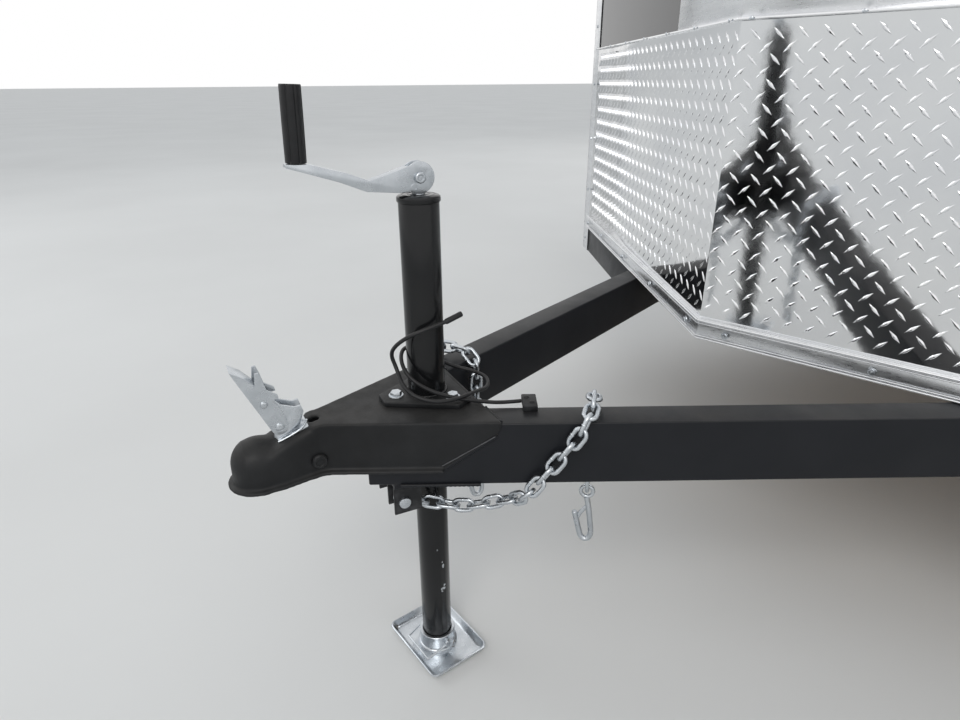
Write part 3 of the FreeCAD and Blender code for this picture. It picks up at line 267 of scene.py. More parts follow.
# Building shapes from points
class Shape:
    def __init__(self):
        self.points = []
        self.faces = []

    def add(self, points, faces):
        start = len(self.points)
        self.points += [Vector(p) for p in points]
        self.faces += [[i + start for i in face] for face in faces]

    def block(self, low, high, bevel, segments=2):
        """A box between two corners, in metres, with rounded edges."""
        bm = bmesh.new()
        bmesh.ops.create_cube(bm, size=1)
        middle = (Vector(low) + Vector(high)) / 2
        size = Vector(high) - Vector(low)
        for v in bm.verts:
            v.co = Vector((v.co.x * size.x, v.co.y * size.y, v.co.z * size.z)) + middle
        bmesh.ops.bevel(bm, geom=bm.edges[:], offset=bevel, segments=segments, profile=0.5, affect="EDGES",
                        clamp_overlap=True)
        bm.verts.ensure_lookup_table()
        bm.verts.index_update()
        self.add([v.co for v in bm.verts], [[v.index for v in f.verts] for f in bm.faces])
        bm.free()

    def lathe(self, profile, origin, axis, sides=32, closed=False, wobble=None):
        """A turned form. Each point of the profile is a radius and a distance along the axis, in
        millimetres."""
        axis, across, third = round_axes(axis)
        points = []
        for k in range(sides):
            a = 2 * pi * k / sides
            way = across * cos(a) + third * sin(a)
            for i, (r, h) in enumerate(profile):
                grow = wobble(a, i) if wobble else 1
                points.append(Vector(origin) + way * (r * grow * 0.001) + axis * (h * 0.001))
        n = len(profile)
        faces = []
        for k in range(sides):
            a, b = k * n, ((k + 1) % sides) * n
            for i in range(n if closed else n - 1):
                j = (i + 1) % n
                faces.append([a + i, b + i, b + j, a + j])
        self.add(points, faces)

    def stack(self, rings, closed=False, caps=True):
        """A skin over rings of points, with flat ends unless it closes on itself."""
        n = len(rings[0])
        faces = []
        for i in range(len(rings) if closed else len(rings) - 1):
            a, b = i * n, ((i + 1) % len(rings)) * n
            for k in range(n):
                m = (k + 1) % n
                faces.append([a + k, a + m, b + m, b + k])
        if caps and not closed:
            faces += [list(range(n))[::-1], [(len(rings) - 1) * n + k for k in range(n)]]
        self.add([p for ring in rings for p in ring], faces)

    def tube(self, path, radius, sides=12, closed=False, ripple=0, flat=1):
        """A round bar along points, in metres."""
        path = [Vector(p) for p in path]
        count = len(path)
        turns = [2 * pi * k / sides for k in range(sides)]
        rings = []
        normal = None
        for i in range(count):
            if closed:
                along = (path[(i + 1) % count] - path[i - 1]).normalized()
            else:
                along = (path[min(i + 1, count - 1)] - path[max(i - 1, 0)]).normalized()
            if normal is None:
                normal = along.orthogonal().normalized()
            normal = (normal - along * normal.dot(along)).normalized()
            third = along.cross(normal)
            r = radius * (1 + ripple * sin(i * 2.1))
            rings.append([path[i] + normal * (r * cos(a)) + third * (r * flat * sin(a)) for a in turns])
        self.stack(rings, closed)

    def hexagon(self, centre, axis, across_flats, height, washer=0, turned=0, dome=0.15):
        """A hexagon head with a chamfered, slightly domed top, and a washer below it."""
        axis, across, third = round_axes(axis)
        start = 0
        if washer:
            self.lathe([(0, 0), (washer, 0), (washer + 0.3, 0.4), (washer, 1.4), (washer - 0.6, 1.6),
                        (0, 1.6)], centre, axis, 28)
            start = 1.5
        r = across_flats / sqrt(3)
        profile = [(r, start), (r, start + height * 0.72), (r * 0.9, start + height * 0.95),
                   (r * 0.5, start + height), (0.01, start + height * (1 + dome))]
        ways = [across * cos(a) + third * sin(a) for a in (turned + pi / 3 * k for k in range(6))]
        self.stack([[Vector(centre) + way * (radius * 0.001) + axis * (h * 0.001) for way in ways]
                    for radius, h in profile], caps=False)

    def button(self, centre, axis, radius, height, sides=16):
        """A round domed head."""
        self.lathe([(radius, -0.4), (radius, height * 0.25), (radius * 0.86, height * 0.62),
                    (radius * 0.5, height * 0.92), (0, height)], centre, axis, sides)

    def make(self, name, slot, body="trailer", sharp=35, replaces=(), merge=1e-7, material=None):
        mesh = bpy.data.meshes.new(name)
        bm = bmesh.new()
        verts = [bm.verts.new(p) for p in self.points]
        for face in self.faces:
            corners = []
            for i in face:
                if verts[i] not in corners:
                    corners.append(verts[i])
            if len(corners) > 2:
                bm.faces.new(corners)
        bmesh.ops.remove_doubles(bm, verts=bm.verts, dist=merge)
        bmesh.ops.dissolve_degenerate(bm, dist=1e-7, edges=bm.edges)
        bmesh.ops.recalc_face_normals(bm, faces=bm.faces)
        bm.to_mesh(mesh)
        bm.free()
        return place(name, mesh, body, slot, sharp, replaces, material)


def place(name, mesh, body, slot, sharp=35, replaces=(), material=None):
    obj = bpy.data.objects.new(name, mesh)
    scene.collection.objects.link(obj)
    mesh.materials.clear()
    mesh.materials.append(material or MATERIALS[slot])
    for polygon in mesh.polygons:
        polygon.use_smooth = True
    mesh.set_sharp_from_angle(angle=radians(sharp))
    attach(obj, body)
    if replaces:
        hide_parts(*replaces)
    return obj


def node_bmesh(node):
    source = frame["nodes"][node]
    bm = bmesh.new()
    bm.from_mesh(source.data)
    bm.transform(source.matrix_world)
    bmesh.ops.remove_doubles(bm, verts=bm.verts, dist=2e-5)
    bmesh.ops.dissolve_limit(bm, angle_limit=radians(0.5), verts=bm.verts[:], edges=bm.edges[:])
    return bm


def rounded(node, width, segments, crease=25):
    """A copy of a CAD node whose hard edges are rounded by width, in millimetres."""
    bm = node_bmesh(node)
    edges = [e for e in bm.edges if e.is_manifold and e.calc_face_angle(0) > radians(crease)]
    bmesh.ops.bevel(bm, geom=edges, offset=width * 0.001, offset_type="OFFSET", segments=segments, profile=0.5,
                    affect="EDGES", clamp_overlap=True)
    mesh = bpy.data.meshes.new(node + "_shape")
    bm.to_mesh(mesh)
    bm.free()
    return place(node + "_shape", mesh, BODY_OF[node], SLOT_OF[node], 40, (node,))


# Wiring cable, two loops round the jack
CABLE_ROUTE = ((423.9, -86.2, 516.5), (392, -79, 516.8), (356, -70, 524.5), (322, -60, 533), (291, -46, 545),
               (268, -26, 562), (265, 0, 579), (277, 24, 590), (303, 39, 583), (332, 40, 559), (362, 31, 540),
               (390, 15, 533), (405, -11, 529), (392, -38, 525), (360, -56, 533), (326, -73, 536),
               (291, -75, 539), (264, -58, 546), (255, -31, 556), (257, -5, 571), (250, -1, 594),
               (254, -16, 613), (270, -32, 630), (296, -39, 639), (325, -40, 646))
CABLE_RADIUS = 0.003
SLEEVE_END = at(349, -40, 654)
curve = bpy.data.curves.new("wiring_cable_line", "CURVE")
curve.dimensions = "3D"
curve.resolution_u = 10
curve.bevel_depth = CABLE_RADIUS
curve.bevel_resolution = 5
curve.use_fill_caps = True
spline = curve.splines.new("NURBS")
spline.points.add(len(CABLE_ROUTE) - 1)
for point, place_mm in zip(spline.points, CABLE_ROUTE):
    point.co = (*at(*place_mm), 1)
spline.order_u = 3
spline.use_endpoint_u = True
cable = bpy.data.objects.new("wiring_cable_line", curve)
scene.collection.objects.link(cable)
curve.materials.append(MATERIALS["cable_black"])
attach(cable, "trailer")
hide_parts("wiring_cable")
sleeve_start = at(*CABLE_ROUTE[-1])
sleeve_way = (SLEEVE_END - sleeve_start).normalized()
sleeve_length = (SLEEVE_END - sleeve_start).length * 1000
sleeve = Shape()
sleeve.lathe([(3.1, -3), (4, -1.5), (4.2, 1.5), (4.2, sleeve_length - 1.6), (3.6, sleeve_length - 0.3),
              (2.4, sleeve_length), (2.2, sleeve_length - 1.5), (0, sleeve_length - 1.5)], sleeve_start,
              sleeve_way, 20)
sleeve = sleeve.make("cable_sleeve_end", "cable_black", replaces=("cable_sleeve",))

# Safety chains
LINK_PITCH = 24.9
LINK_COUNT = 26
LINK_LENGTH = 39.6
LINK_WIDTH = 25.2
LINK_WIRE = 6.8
CAD_WIRE = 4.6
BEND_STEPS = 9
LINK_SEAM = [(3.35, -1.6), (3.75, -0.6), (3.75, 0.6), (3.35, 1.6)]
NEAR_ROUTE = ((235.4, -39, 373.5), (285, -39.4, 347), (322, -60, 341), (352, -82, 346), (383, -105, 361),
              (398.8, -135.2, 377), (401.3, -160.6, 405), (423, -170.7, 438), (451.1, -183.8, 480),
              (467.6, -193.8, 513), (474, -192.6, 528), (488.6, -179.2, 533), (511.1, -152.2, 532),
              (524.2, -132.1, 525.5), (527.2, -128.6, 505), (525.7, -130.4, 300))
FAR_ROUTE = ((235.4, 39, 373.5), (283, 39.4, 352), (322, 60, 347), (350, 94, 341), (369, 120, 331),
             (378, 143, 342), (374, 148, 366), (368.5, 146.6, 396), (366.8, 146.2, 427), (369.6, 145.8, 460),
             (373.7, 148.8, 512), (377.2, 148.3, 529), (391.1, 132.7, 533), (413.2, 106.6, 532),
             (426.4, 86.2, 525.5), (428.4, 81.9, 505), (426.9, 84.3, 250))


def joints_along(route):
    """Points one pitch apart along a route, in millimetres."""
    points = [Vector(p) for p in route]
    found = [points[0]]
    leg = 0
    while len(found) <= LINK_COUNT:
        here = found[-1]
        while leg + 1 < len(points) and (points[leg + 1] - here).length < LINK_PITCH:
            leg += 1
        start, end = points[leg], points[leg + 1]
        if (start - here).length > LINK_PITCH:
            start = here
        low, high = 0, 1
        for _ in range(50):
            mid = (low + high) / 2
            if (start + (end - start) * mid - here).length < LINK_PITCH:
                low = mid
            else:
                high = mid
        found.append(start + (end - start) * high)
    return found


def link_path():
    """One link's centre line, long side along x, in the xz plane, in millimetres."""
    radius = (LINK_WIDTH - LINK_WIRE) / 2
    run = (LINK_LENGTH - LINK_WIRE) / 2 - radius
    path = []
    for end in (1, -1):
        for k in range(BEND_STEPS + 1):
            a = pi / 2 - pi * k / BEND_STEPS
            path.append(Vector((end * (run + radius * cos(a)), 0, end * radius * sin(a))))
    return path


chain_ends = []
for chain_name, route in (("near", NEAR_ROUTE), ("far", FAR_ROUTE)):
    joints = joints_along(route)
    along = (joints[1] - joints[0]).normalized()
    normal = Vector((0, 1, 0))
    normal = (normal - along * normal.dot(along)).normalized()
    chain = Shape()
    for k in range(LINK_COUNT):
        ahead = (joints[k + 1] - joints[k]).normalized()
        normal = along.rotation_difference(ahead) @ normal
        normal = (normal - ahead * normal.dot(ahead)).normalized()
        along = ahead
        face = normal if k % 2 == 0 else along.cross(normal)
        spot = placed((joints[k] + joints[k + 1]) / 2, along, face, along.cross(face))
        chain.tube([at(*(spot @ p)) for p in link_path()], LINK_WIRE / 2000, 12, closed=True)
        seam = spot @ Vector((0, 0, (LINK_WIDTH - LINK_WIRE) / 2))
        chain.lathe(LINK_SEAM, at(*seam), along, 12)
    chain_ends.append((joints[-1], along, normal))
    made = chain.make(chain_name + "_safety_chain", "zinc", sharp=60)
    if chain_name == "near":
        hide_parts("safety_chains")

# Hooks on the chains' ends
HOOK_LINE = ((0, -11), (1.5, -18), (4, -30), (7, -50), (10, -72), (10.5, -84), (7, -93), (0.5, -95.5),
             (-5.5, -91), (-9, -80), (-13.5, -62), (-18, -44))
HOOK_KEEPER = ((3.5, 0, -28), (-2.5, 0, -34), (-9.5, 0, -46), (-12.5, 0, -54))
HOOK_WIRE = 4.7
EYE_RADIUS = 10
EYE_WIDTH = 22
EYE_SIDES = 28
CURVE_STEPS = 4
for index, (last, along, normal) in enumerate(chain_ends):
    across = Vector((normal.x, normal.y, 0)).normalized()
    if across.y < 0:
        across = -across
    fore = across.cross(Vector(UP))
    centre = last + along * ((CAD_WIRE + EYE_WIDTH) / 2 - (LINK_LENGTH - LINK_PITCH) / 2)
    spot = placed(centre, fore, across, Vector(UP))
    hook = Shape()
    eye = [Vector((EYE_RADIUS * cos(a), 0, EYE_RADIUS * sin(a)))
           for a in (2 * pi * k / EYE_SIDES for k in range(EYE_SIDES))]
    hook.tube([at(*(spot @ p)) for p in eye], 0.0034, 12, closed=True)
    line = [Vector((x, 0, z)) for x, z in HOOK_LINE]
    smooth = []
    for i in range(len(line) - 1):
        before, here, there = line[max(i - 1, 0)], line[i], line[i + 1]
        after = line[min(i + 2, len(line) - 1)]
        for s in range(CURVE_STEPS):
            t = s / CURVE_STEPS
            smooth.append(0.5 * (2 * here + (there - before) * t
                                 + (2 * before - 5 * here + 4 * there - after) * t ** 2
                                 + (3 * here - before - 3 * there + after) * t ** 3))
    smooth.append(line[-1])
    hook.tube([at(*(spot @ p)) for p in smooth], 0.0047, 14)
    hook.button(at(*(spot @ line[-1])), spot.to_3x3() @ Vector(UP), HOOK_WIRE, 2.6, 14)
    hook.tube([at(*(spot @ Vector(p))) for p in HOOK_KEEPER], 0.0016, 10, flat=2.2)
    made = hook.make(("near", "far")[index] + "_chain_hook", "zinc", sharp=60)
    if index == 0:
        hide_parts("chain_hooks")


# Coupler: pressed shell with soft edges, its dome running into the neck
BLEND_PASSES = 90
BLEND_FRONT, BLEND_REAR = 28, 122
BLEND_LOW, BLEND_HIGH = 458, 516
SEAT_FRONT, SEAT_HALF = 73, 19


def in_blend(co):
    """Whether a point is where the dome meets the neck, clear of the lip and of the latch's seat."""
    x = co.x * 1000 + HALF_LENGTH
    y = abs(co.y) * 1000
    z = co.z * 1000
    on_seat = x > SEAT_FRONT and y < SEAT_HALF
    return BLEND_FRONT < x < BLEND_REAR and BLEND_LOW < z < BLEND_HIGH and not on_seat


def remeshed(node, voxel, passes, name):
    bm = node_bmesh(node)
    bmesh.ops.triangulate(bm, faces=bm.faces[:])
    raw = bpy.data.meshes.new(name + "_raw")
    bm.to_mesh(raw)
    bm.free()
    temp = bpy.data.objects.new(name + "_raw", raw)
    scene.collection.objects.link(temp)
    net = temp.modifiers.new("net", "REMESH")
    net.mode = "VOXEL"
    net.voxel_size = voxel
    net.adaptivity = 0
    soften = temp.modifiers.new("soften", "SMOOTH")
    soften.factor = 0.5
    soften.iterations = passes
    bpy.context.view_layer.update()
    mesh = bpy.data.meshes.new_from_object(temp.evaluated_get(bpy.context.evaluated_depsgraph_get()))
    mesh.name = name
    bpy.data.objects.remove(temp)
    bm = bmesh.new()
    bm.from_mesh(mesh)
    soft_verts = [v for v in bm.verts if in_blend(v.co)]
    for _ in range(BLEND_PASSES):
        bmesh.ops.smooth_vert(bm, verts=soft_verts, factor=0.5, use_axis_x=True, use_axis_y=True,
                              use_axis_z=True)
    bm.to_mesh(mesh)
    bm.free()
    return place(name, mesh, BODY_OF[node], SLOT_OF[node], 180, (node,))


remeshed("coupler_body", 0.0019, 16, "coupler_shell")
coupler_extra = Shape()
for s in SIDES:
    coupler_extra.lathe([(11, -3.2), (11, 0.5), (9.5, 2.2), (6.5, 2.6), (5.6, 1.6), (0, 1.4)],
                        at(126, s * 30.6, 461), (0, s, 0), 28)
coupler_extra.make("coupler_pin_ends", "coupler_black", replaces=("coupler_pin",))


# Weld beads
BEAD_STEP = 0.0022
BEAD_RIPPLE = 0.16


def weld(name, paths, radius=0.0026, slot="frame_black"):
    bead = Shape()
    for path in paths:
        line = []
        for a, b in zip(path, path[1:]):
            steps = max(2, int((Vector(b) - Vector(a)).length / BEAD_STEP))
            line += [Vector(a).lerp(Vector(b), i / steps) for i in range(steps)]
        line.append(Vector(path[-1]))
        bead.tube(line, radius, 8, ripple=BEAD_RIPPLE)
    bead.make(name, slot, sharp=70)


def jack_ring(z):
    """A closed path round the jack's tube."""
    turns = [2 * pi * k / 36 for k in range(37)]
    return [at(JACK_X + BEAD_RADIUS * cos(a), BEAD_RADIUS * sin(a), z) for a in turns]


def rail_y(x, out=0):
    """How far out a rail's outer face lies at x, or a line that far beyond it."""
    return (x - TONGUE_APEX) * tan(TONGUE_ANGLE) + out / cos(TONGUE_ANGLE)


SLANT = ((292, 440), (325, 466), (360, 493.6))
TAIL_EDGE = ((287.5, 446), (305, 457.8), (322, 469.6), (340, 481.8), (357.5, 494))
weld("tongue_weld_beads",
     [[at(x, s * rail_y(x, 2.6), z) for x, z in SLANT] for s in SIDES]
     + [[at(368.6, s * rail_y(368, out), 513.4) for out in (-3, -48)] for s in SIDES]
     + [[at(x, s * rail_y(x, 1.5), 410.4) for x in (232, 340)] for s in SIDES])

# Painted highlight along the coupler's slanting tail: a thin, lighter strip stands in for the light that its
# edge catches
worn_and_highlight = Shape()
for s in SIDES:
    worn_and_highlight.tube([at(x, s * (rail_y(x) + 5.1), z) for x, z in TAIL_EDGE], 0.0009, 8, flat=1.6)
# The strip's lighter colour is a painted highlight on the tail's edge
worn_and_highlight.make("coupler_tail_edge", "coupler_black", sharp=60,
          material=surface("coupler_worn", (0.07, 0.07, 0.074), (0.115, 0.115, 0.12), rough=(0.35, 0.5),
                           cloud=60, bumps=((500, 0.2, 0.0003),)))

# Latch: lever, saddle, rivets, and the saddle's rolled edges
LATCH_FACE = 15
RIVETS = ((63.4, 559.6, 4.6, 1.8), (80.1, 521.8, 5.4, 1.9))
ROLLED_EDGE = ((74.5, 501.2), (82, 503.4), (90, 506.2), (100, 510.2), (108, 514.6), (113, 519.6), (115.6, 524),
               (116.2, 527))
rounded("latch_lever", 0.8, 3, crease=20)
rounded("latch_seat", 0.6, 2, crease=20)
latch = Shape()
for s in SIDES:
    for x, z, r, h in RIVETS:
        latch.lathe([(r + 0.9, -0.3), (r + 0.9, 0.3), (r + 0.6, 0.5), (r + 0.1, 0.3), (r, h * 0.55),
                     (r * 0.8, h * 0.9), (r * 0.4, h), (0, h)], at(x, s * LATCH_FACE, z), (0, s, 0), 24)
latch.make("latch_rivets", "zinc", "latch_lever")
roll_edge = Shape()
for s in SIDES:
    roll_edge.tube([at(x, s * 18.5, z) for x, z in ROLLED_EDGE], 0.0016, 12)
roll_edge.make("latch_seat_rolled_edges", "zinc", sharp=60)

# Jack: tube, cap, leg, flange with bolts, foot pan, chips of paint on the leg
CAP_Z = 811
BEAD_RADIUS = 29.6
FLANGE_TOP, BRACE_FOOT = 525.6, 399.8
BOLT_CIRCLE, BOLT_Z = 50, 525
rounded("jack_tube", 0.8, 2)
rounded("jack_leg", 0.6, 2)
rounded("jack_flange", 1.6, 3)
rounded("jack_lower_plate", 1.5, 2)
cap = Shape()
cap.lathe([(8.2, 1), (8.2, 9), (9.5, 10.2), (14, 10), (15.2, 9.2), (16.4, 9.9), (22, 9.7), (23.2, 8.9),
           (24.4, 9.5), (28.2, 8.8), (30.2, 7.2), (30.6, 5), (30.6, 1.6), (29.9, 0.3), (28.6, 0), (8.2, 0)],
          at(JACK_X, 0, CAP_Z), UP, 72, closed=True)
cap.make("jack_cap_ringed", "jack_black", replaces=("jack_cap",))
weld("jack_weld_beads", [jack_ring(FLANGE_TOP), jack_ring(BRACE_FOOT)], 0.0022, "jack_black")
bolts = Shape()
for angle in (180, 300, 60):
    a = radians(angle)
    bolts.hexagon(at(JACK_X + BOLT_CIRCLE * cos(a), BOLT_CIRCLE * sin(a), BOLT_Z), UP, 15.5, 5.6, washer=11.2,
                  turned=a * 1.7)
bolts.make("jack_flange_bolts", "zinc", replaces=("jack_bolts",))
FOOT_TURN = radians(11.5)
FOOT_HALF = (59.5, 77.8)
CORNER_POINTS = 7
foot = Shape()
FOOT_RINGS = ((13.5, 0, 7.5), (9, 1.2, 9), (5, 5, 10), (1.4, 11, 11.5), (0, 14, 12), (0.4, 15.4, 12),
              (1.6, 16, 11.5), (3.2, 15.4, 11), (6.5, 9.5, 9.5), (9.5, 5.6, 8.5), (13, 4, 7.5), (27, 4, 6))


def foot_ring(inset, height, corner):
    """Points round the foot plate at a distance in from its edge, with round corners."""
    half_x, half_y = FOOT_HALF[0] - inset - corner, FOOT_HALF[1] - inset - corner
    points = []
    for k, (sx, sy) in enumerate(((1, 1), (-1, 1), (-1, -1), (1, -1))):
        for i in range(CORNER_POINTS):
            a = pi / 2 * (k + i / (CORNER_POINTS - 1))
            x, y = sx * half_x + corner * cos(a), sy * half_y + corner * sin(a)
            points.append(at(JACK_X + x * cos(FOOT_TURN) - y * sin(FOOT_TURN),
                             x * sin(FOOT_TURN) + y * cos(FOOT_TURN), height))
    return points


foot.stack([foot_ring(*r) for r in FOOT_RINGS])
foot.lathe([(26.3, 3.6), (26.3, 36.4), (27, 37), (31.3, 37), (32, 36.3), (32, 35), (32, 12.5), (32, 11),
            (34, 10.2), (35.4, 8.4), (35.8, 6), (35, 3.6)], at(JACK_X, 0, 0), UP, 56, closed=True)
foot.make("jack_foot_pan", "zinc", "jack_leg", replaces=("jack_foot",))
chips = Shape()
chooser = random.Random(11)
LEG_RADIUS = 26
CHIP_POINTS = 11
CHIPS = ((283.6, 194, 2.6, 4.6), (281, 203, 1.2, 2), (281.5, 145, 6, 4.2), (288, 151, 2.4, 2.6),
         (276, 139, 2, 1.5), (262, 232, 1.2, 1.8), (120, 170, 3, 3.8))
for angle, z, wide, high in CHIPS:
    edge = []
    for k in range(CHIP_POINTS):
        a = 2 * pi * k / CHIP_POINTS
        r = chooser.uniform(0.55, 1.15)
        edge.append((radians(angle) + r * wide * cos(a) / LEG_RADIUS, z + r * high * sin(a)))
    chips.stack([[at(JACK_X + rad * cos(a), rad * sin(a), h) for a, h in edge]
                 for rad in (LEG_RADIUS - 0.5, LEG_RADIUS + 0.12)])
chips.make("jack_leg_chips", "zinc", "jack_leg")
rounded("foot_pin", 0.5, 2)

# Crank: arm, head, pivot bolt, fluted grip on its stud
PIVOT_Z = 843.5
ARM_FACE = 12.3
GRIP_X = 146.5
FLUTED = range(3, 10)
FLUTE_DEPTH = 0.1
rounded("crank_arm", 1.1, 3, crease=20)
rounded("crank_head", 0.5, 2)
arm_bolt = Shape()
arm_bolt.lathe([(7.4, -3), (7.4, 0.3), (6.8, 1.1), (5.6, 1.5), (4.2, 1.3), (3.4, 0.3), (2.6, 0.1), (0, 0)],
               at(JACK_X, -ARM_FACE, PIVOT_Z), (0, -1, 0), 32)
arm_bolt.lathe([(5.2, -0.2), (5.2, 2.6), (4.4, 3.4), (0, 3.6)], at(JACK_X, ARM_FACE, PIVOT_Z), (0, 1, 0), 20)
arm_bolt.lathe([(5, -0.2), (5, 0.3), (4.4, 0.6), (3.7, 0.5), (3.5, -0.2)], at(JACK_X - 8.5, -9.5, 831.6),
               (0, -1, 0), 28)
arm_bolt.make("crank_pivot_bolt", "zinc", "crank")
lean = radians(1.9)
grip_axis = Vector((sin(lean), 0, cos(lean)))
grip = Shape()
profile = [(4.5, 0), (12.2, 0), (12.9, 0.7), (13, 2), (13, 3), (13.1, 20), (13.2, 45), (13.1, 70), (13, 88.4),
           (12.7, 89.6), (12, 90), (8.4, 90), (7.8, 88.8), (0, 88.6)]


def flutes(a, i):
    if i not in FLUTED:
        return 1
    return 1 - FLUTE_DEPTH * max(0, cos(3.5 * (a + 0.35)) ** 2) ** 12


grip.lathe(profile, at(GRIP_X, 0, 869.8), grip_axis, 120, wobble=flutes)
grip.make("crank_grip_fluted", "grip_black", "crank", sharp=50, replaces=("crank_grip",))
stud = Shape()
stud.lathe([(4.3, -2), (4.3, 0.4), (7.2, 0.4), (7.4, 1), (6.8, 1.5), (0, 1.7)], at(GRIP_X, 0, 866.6), UP, 24)
stud.make("crank_grip_stud", "zinc", "crank")

# Chain brackets and bolts
rounded("chain_brackets", 2.2, 3)
BRACKET_X, BRACKET_Y, BRACKET_Z = 240, 39, 371
EAR = 17.2
BOLT_HEAD = ((0, 0), (9.5, 0), (9.5, 3.4), (8.6, 4.8), (6.5, 5.4), (0, 5.5))
chain_bolts = Shape()
for s in SIDES:
    chain_bolts.lathe([(5, -EAR), (5, EAR)], at(BRACKET_X, s * BRACKET_Y, BRACKET_Z), (0, 1, 0), 24)
    for t in SIDES:
        face = at(BRACKET_X, s * BRACKET_Y + t * EAR, BRACKET_Z)
        if t * s > 0:
            chain_bolts.lathe(BOLT_HEAD, face, (0, t, 0), 32)
        else:
            chain_bolts.hexagon(face, (0, t, 0), 16, 4.4, washer=0, turned=0.3)
chain_bolts.make("chain_bolt_heads", "zinc", replaces=("chain_bolts",))

# Cable clamp with its screws
rounded("cable_clamp", 1.4, 2)
clamp = Shape()
low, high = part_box("cable_clamp")
middle = (Vector(low) + Vector(high)) / 2
for off in (-0.008, 0.009):
    clamp.button(Vector((middle.x, middle.y + off, high[2] - 0.0002)), UP, 4.2, 2.2)
clamp.make("cable_clamp_screws", "coupler_black")

# Rails, frame, axle and springs
for node, width, segments in (
        ("tongue_rails", 5.5, 4), ("main_rails", 5.5, 4), ("nose_sills", 1.5, 2), ("cross_members", 0.8, 1),
        ("rear_frame", 4, 3), ("licence_bracket", 0.8, 2), ("axle_beam", 1.5, 2), ("leaf_springs", 1, 1),
        ("spring_hangers", 1.2, 2), ("spring_plates", 1.5, 2)):
    rounded(node, width, segments)

# Nose: tread plate with raised lugs
LUG_PITCH_ALONG = 35.6
LUG_PITCH_UP = 36.1
LUG_HALF = 13.4
LUG_HALF_WIDTH = 2.9
LUG_HEIGHT = 1.35
LUG_TILT = radians(43.5)
LUG_START, LUG_EDGE = 6, 8
LUG_ROWS = ((60.1, 881.3, -1), (79.9, 899, 1))
STATIONS = ((-1, 0, 0), (-0.62, 0.4, 0.66), (-0.22, 0.86, 0.96), (0, 1, 1), (0.22, 0.86, 0.96),
            (0.62, 0.4, 0.66), (1, 0, 0))


def add_lug(shape, centre, along, normal, size=1):
    """One raised lug, pointed at both ends, with rounded flanks."""
    across = normal.cross(along)
    points = []
    for t, w, h in STATIONS:
        base = centre + along * (t * LUG_HALF * size * 0.001) - normal * 0.0002
        half = LUG_HALF_WIDTH * size * w * 0.001
        rise = LUG_HEIGHT * h * 0.001 + 0.0002
        for side, lift in ((-1, 0), (-0.62, 0.72), (0, 1), (0.62, 0.72), (1, 0)):
            points.append(base + across * (side * half) + normal * (rise * lift if h else 0))
    faces = []
    for i in range(len(STATIONS) - 1):
        for k in range(4):
            a = i * 5 + k
            faces.append([a, a + 1, a + 6, a + 5])
    shape.add(points, faces)


def nose_normal(side):
    """The way that one face of the nose looks."""
    return Vector((-cos(NOSE_SWEEP), side * sin(NOSE_SWEEP), 0))


rounded("stone_guard", 0.7, 2, crease=20)
lugs = Shape()
guard_length = GUARD_EDGE / cos(NOSE_SWEEP)
guard_low, guard_high = 551.3, 1045.3
lug_end = guard_length - LUG_EDGE
lug_low, lug_high = guard_low + LUG_EDGE, guard_high - LUG_EDGE
for side in SIDES:
    way = Vector((sin(NOSE_SWEEP), side * cos(NOSE_SWEEP), 0))
    normal = nose_normal(side)
    for u0, v0, rise in LUG_ROWS:
        for i in range(-40, 41):
            for j in range(-14, 9):
                u = (u0 + LUG_PITCH_ALONG * i) * (-side)
                v = v0 + LUG_PITCH_UP * j
                if not (LUG_START < u < lug_end and lug_low < v < lug_high):
                    continue
                centre = at(NOSE_APEX, 0, v) + way * (u * 0.001)
                tilt = LUG_TILT * rise * (-side)
                along = way * cos(tilt) + Vector(UP) * sin(tilt)
                add_lug(lugs, centre, along, normal)
lugs.make("stone_guard_lugs", "tread_plate", sharp=25, merge=1e-6)

# Fenders with lugs round the arch
rounded("fenders", 0.8, 1, crease=35)
fender_lugs = Shape()
FENDER_RADIUS = 387
FENDER_EDGE = 1236.1
FENDER_SWEEP = radians(86)
FENDER_TILT = radians(45)
FENDER_INSET, FENDER_MARGINS = 24, 30
rows = int((FENDER_EDGE - BODY_HALF_WIDTH - FENDER_MARGINS) / LUG_PITCH_UP)
steps = int(2 * FENDER_SWEEP * FENDER_RADIUS / LUG_PITCH_ALONG)
for s in SIDES:
    for i in range(steps):
        for j in range(rows):
            for kind in (0, 1):
                a = -FENDER_SWEEP + (i + 0.25 + 0.5 * kind) * 2 * FENDER_SWEEP / steps
                y = s * (BODY_HALF_WIDTH + FENDER_INSET + (j + 0.25 + 0.5 * kind) * LUG_PITCH_UP)
                normal = Vector((sin(a), 0, cos(a)))
                way = Vector((cos(a), 0, -sin(a)))
                centre = at(AXLE_X, y, AXLE_Z) + normal * (FENDER_RADIUS * 0.001)
                tilt = FENDER_TILT * (1 if kind else -1)
                add_lug(fender_lugs, centre, way * cos(tilt) + Vector((0, 1, 0)) * sin(tilt), normal, 0.9)
fender_lugs.make("fender_lugs", "tread_plate", sharp=25, merge=1e-6)


# Trim of the nose: ribs along its foot, screws, apex cap, corner posts and roof rim
def nose_point(u, out, z, side):
    """A point on the nose, u from its centre line along one face and out from the guard's face."""
    x = NOSE_APEX + u * sin(NOSE_SWEEP) - out / cos(NOSE_SWEEP)
    return at(x, side * u * cos(NOSE_SWEEP), z)


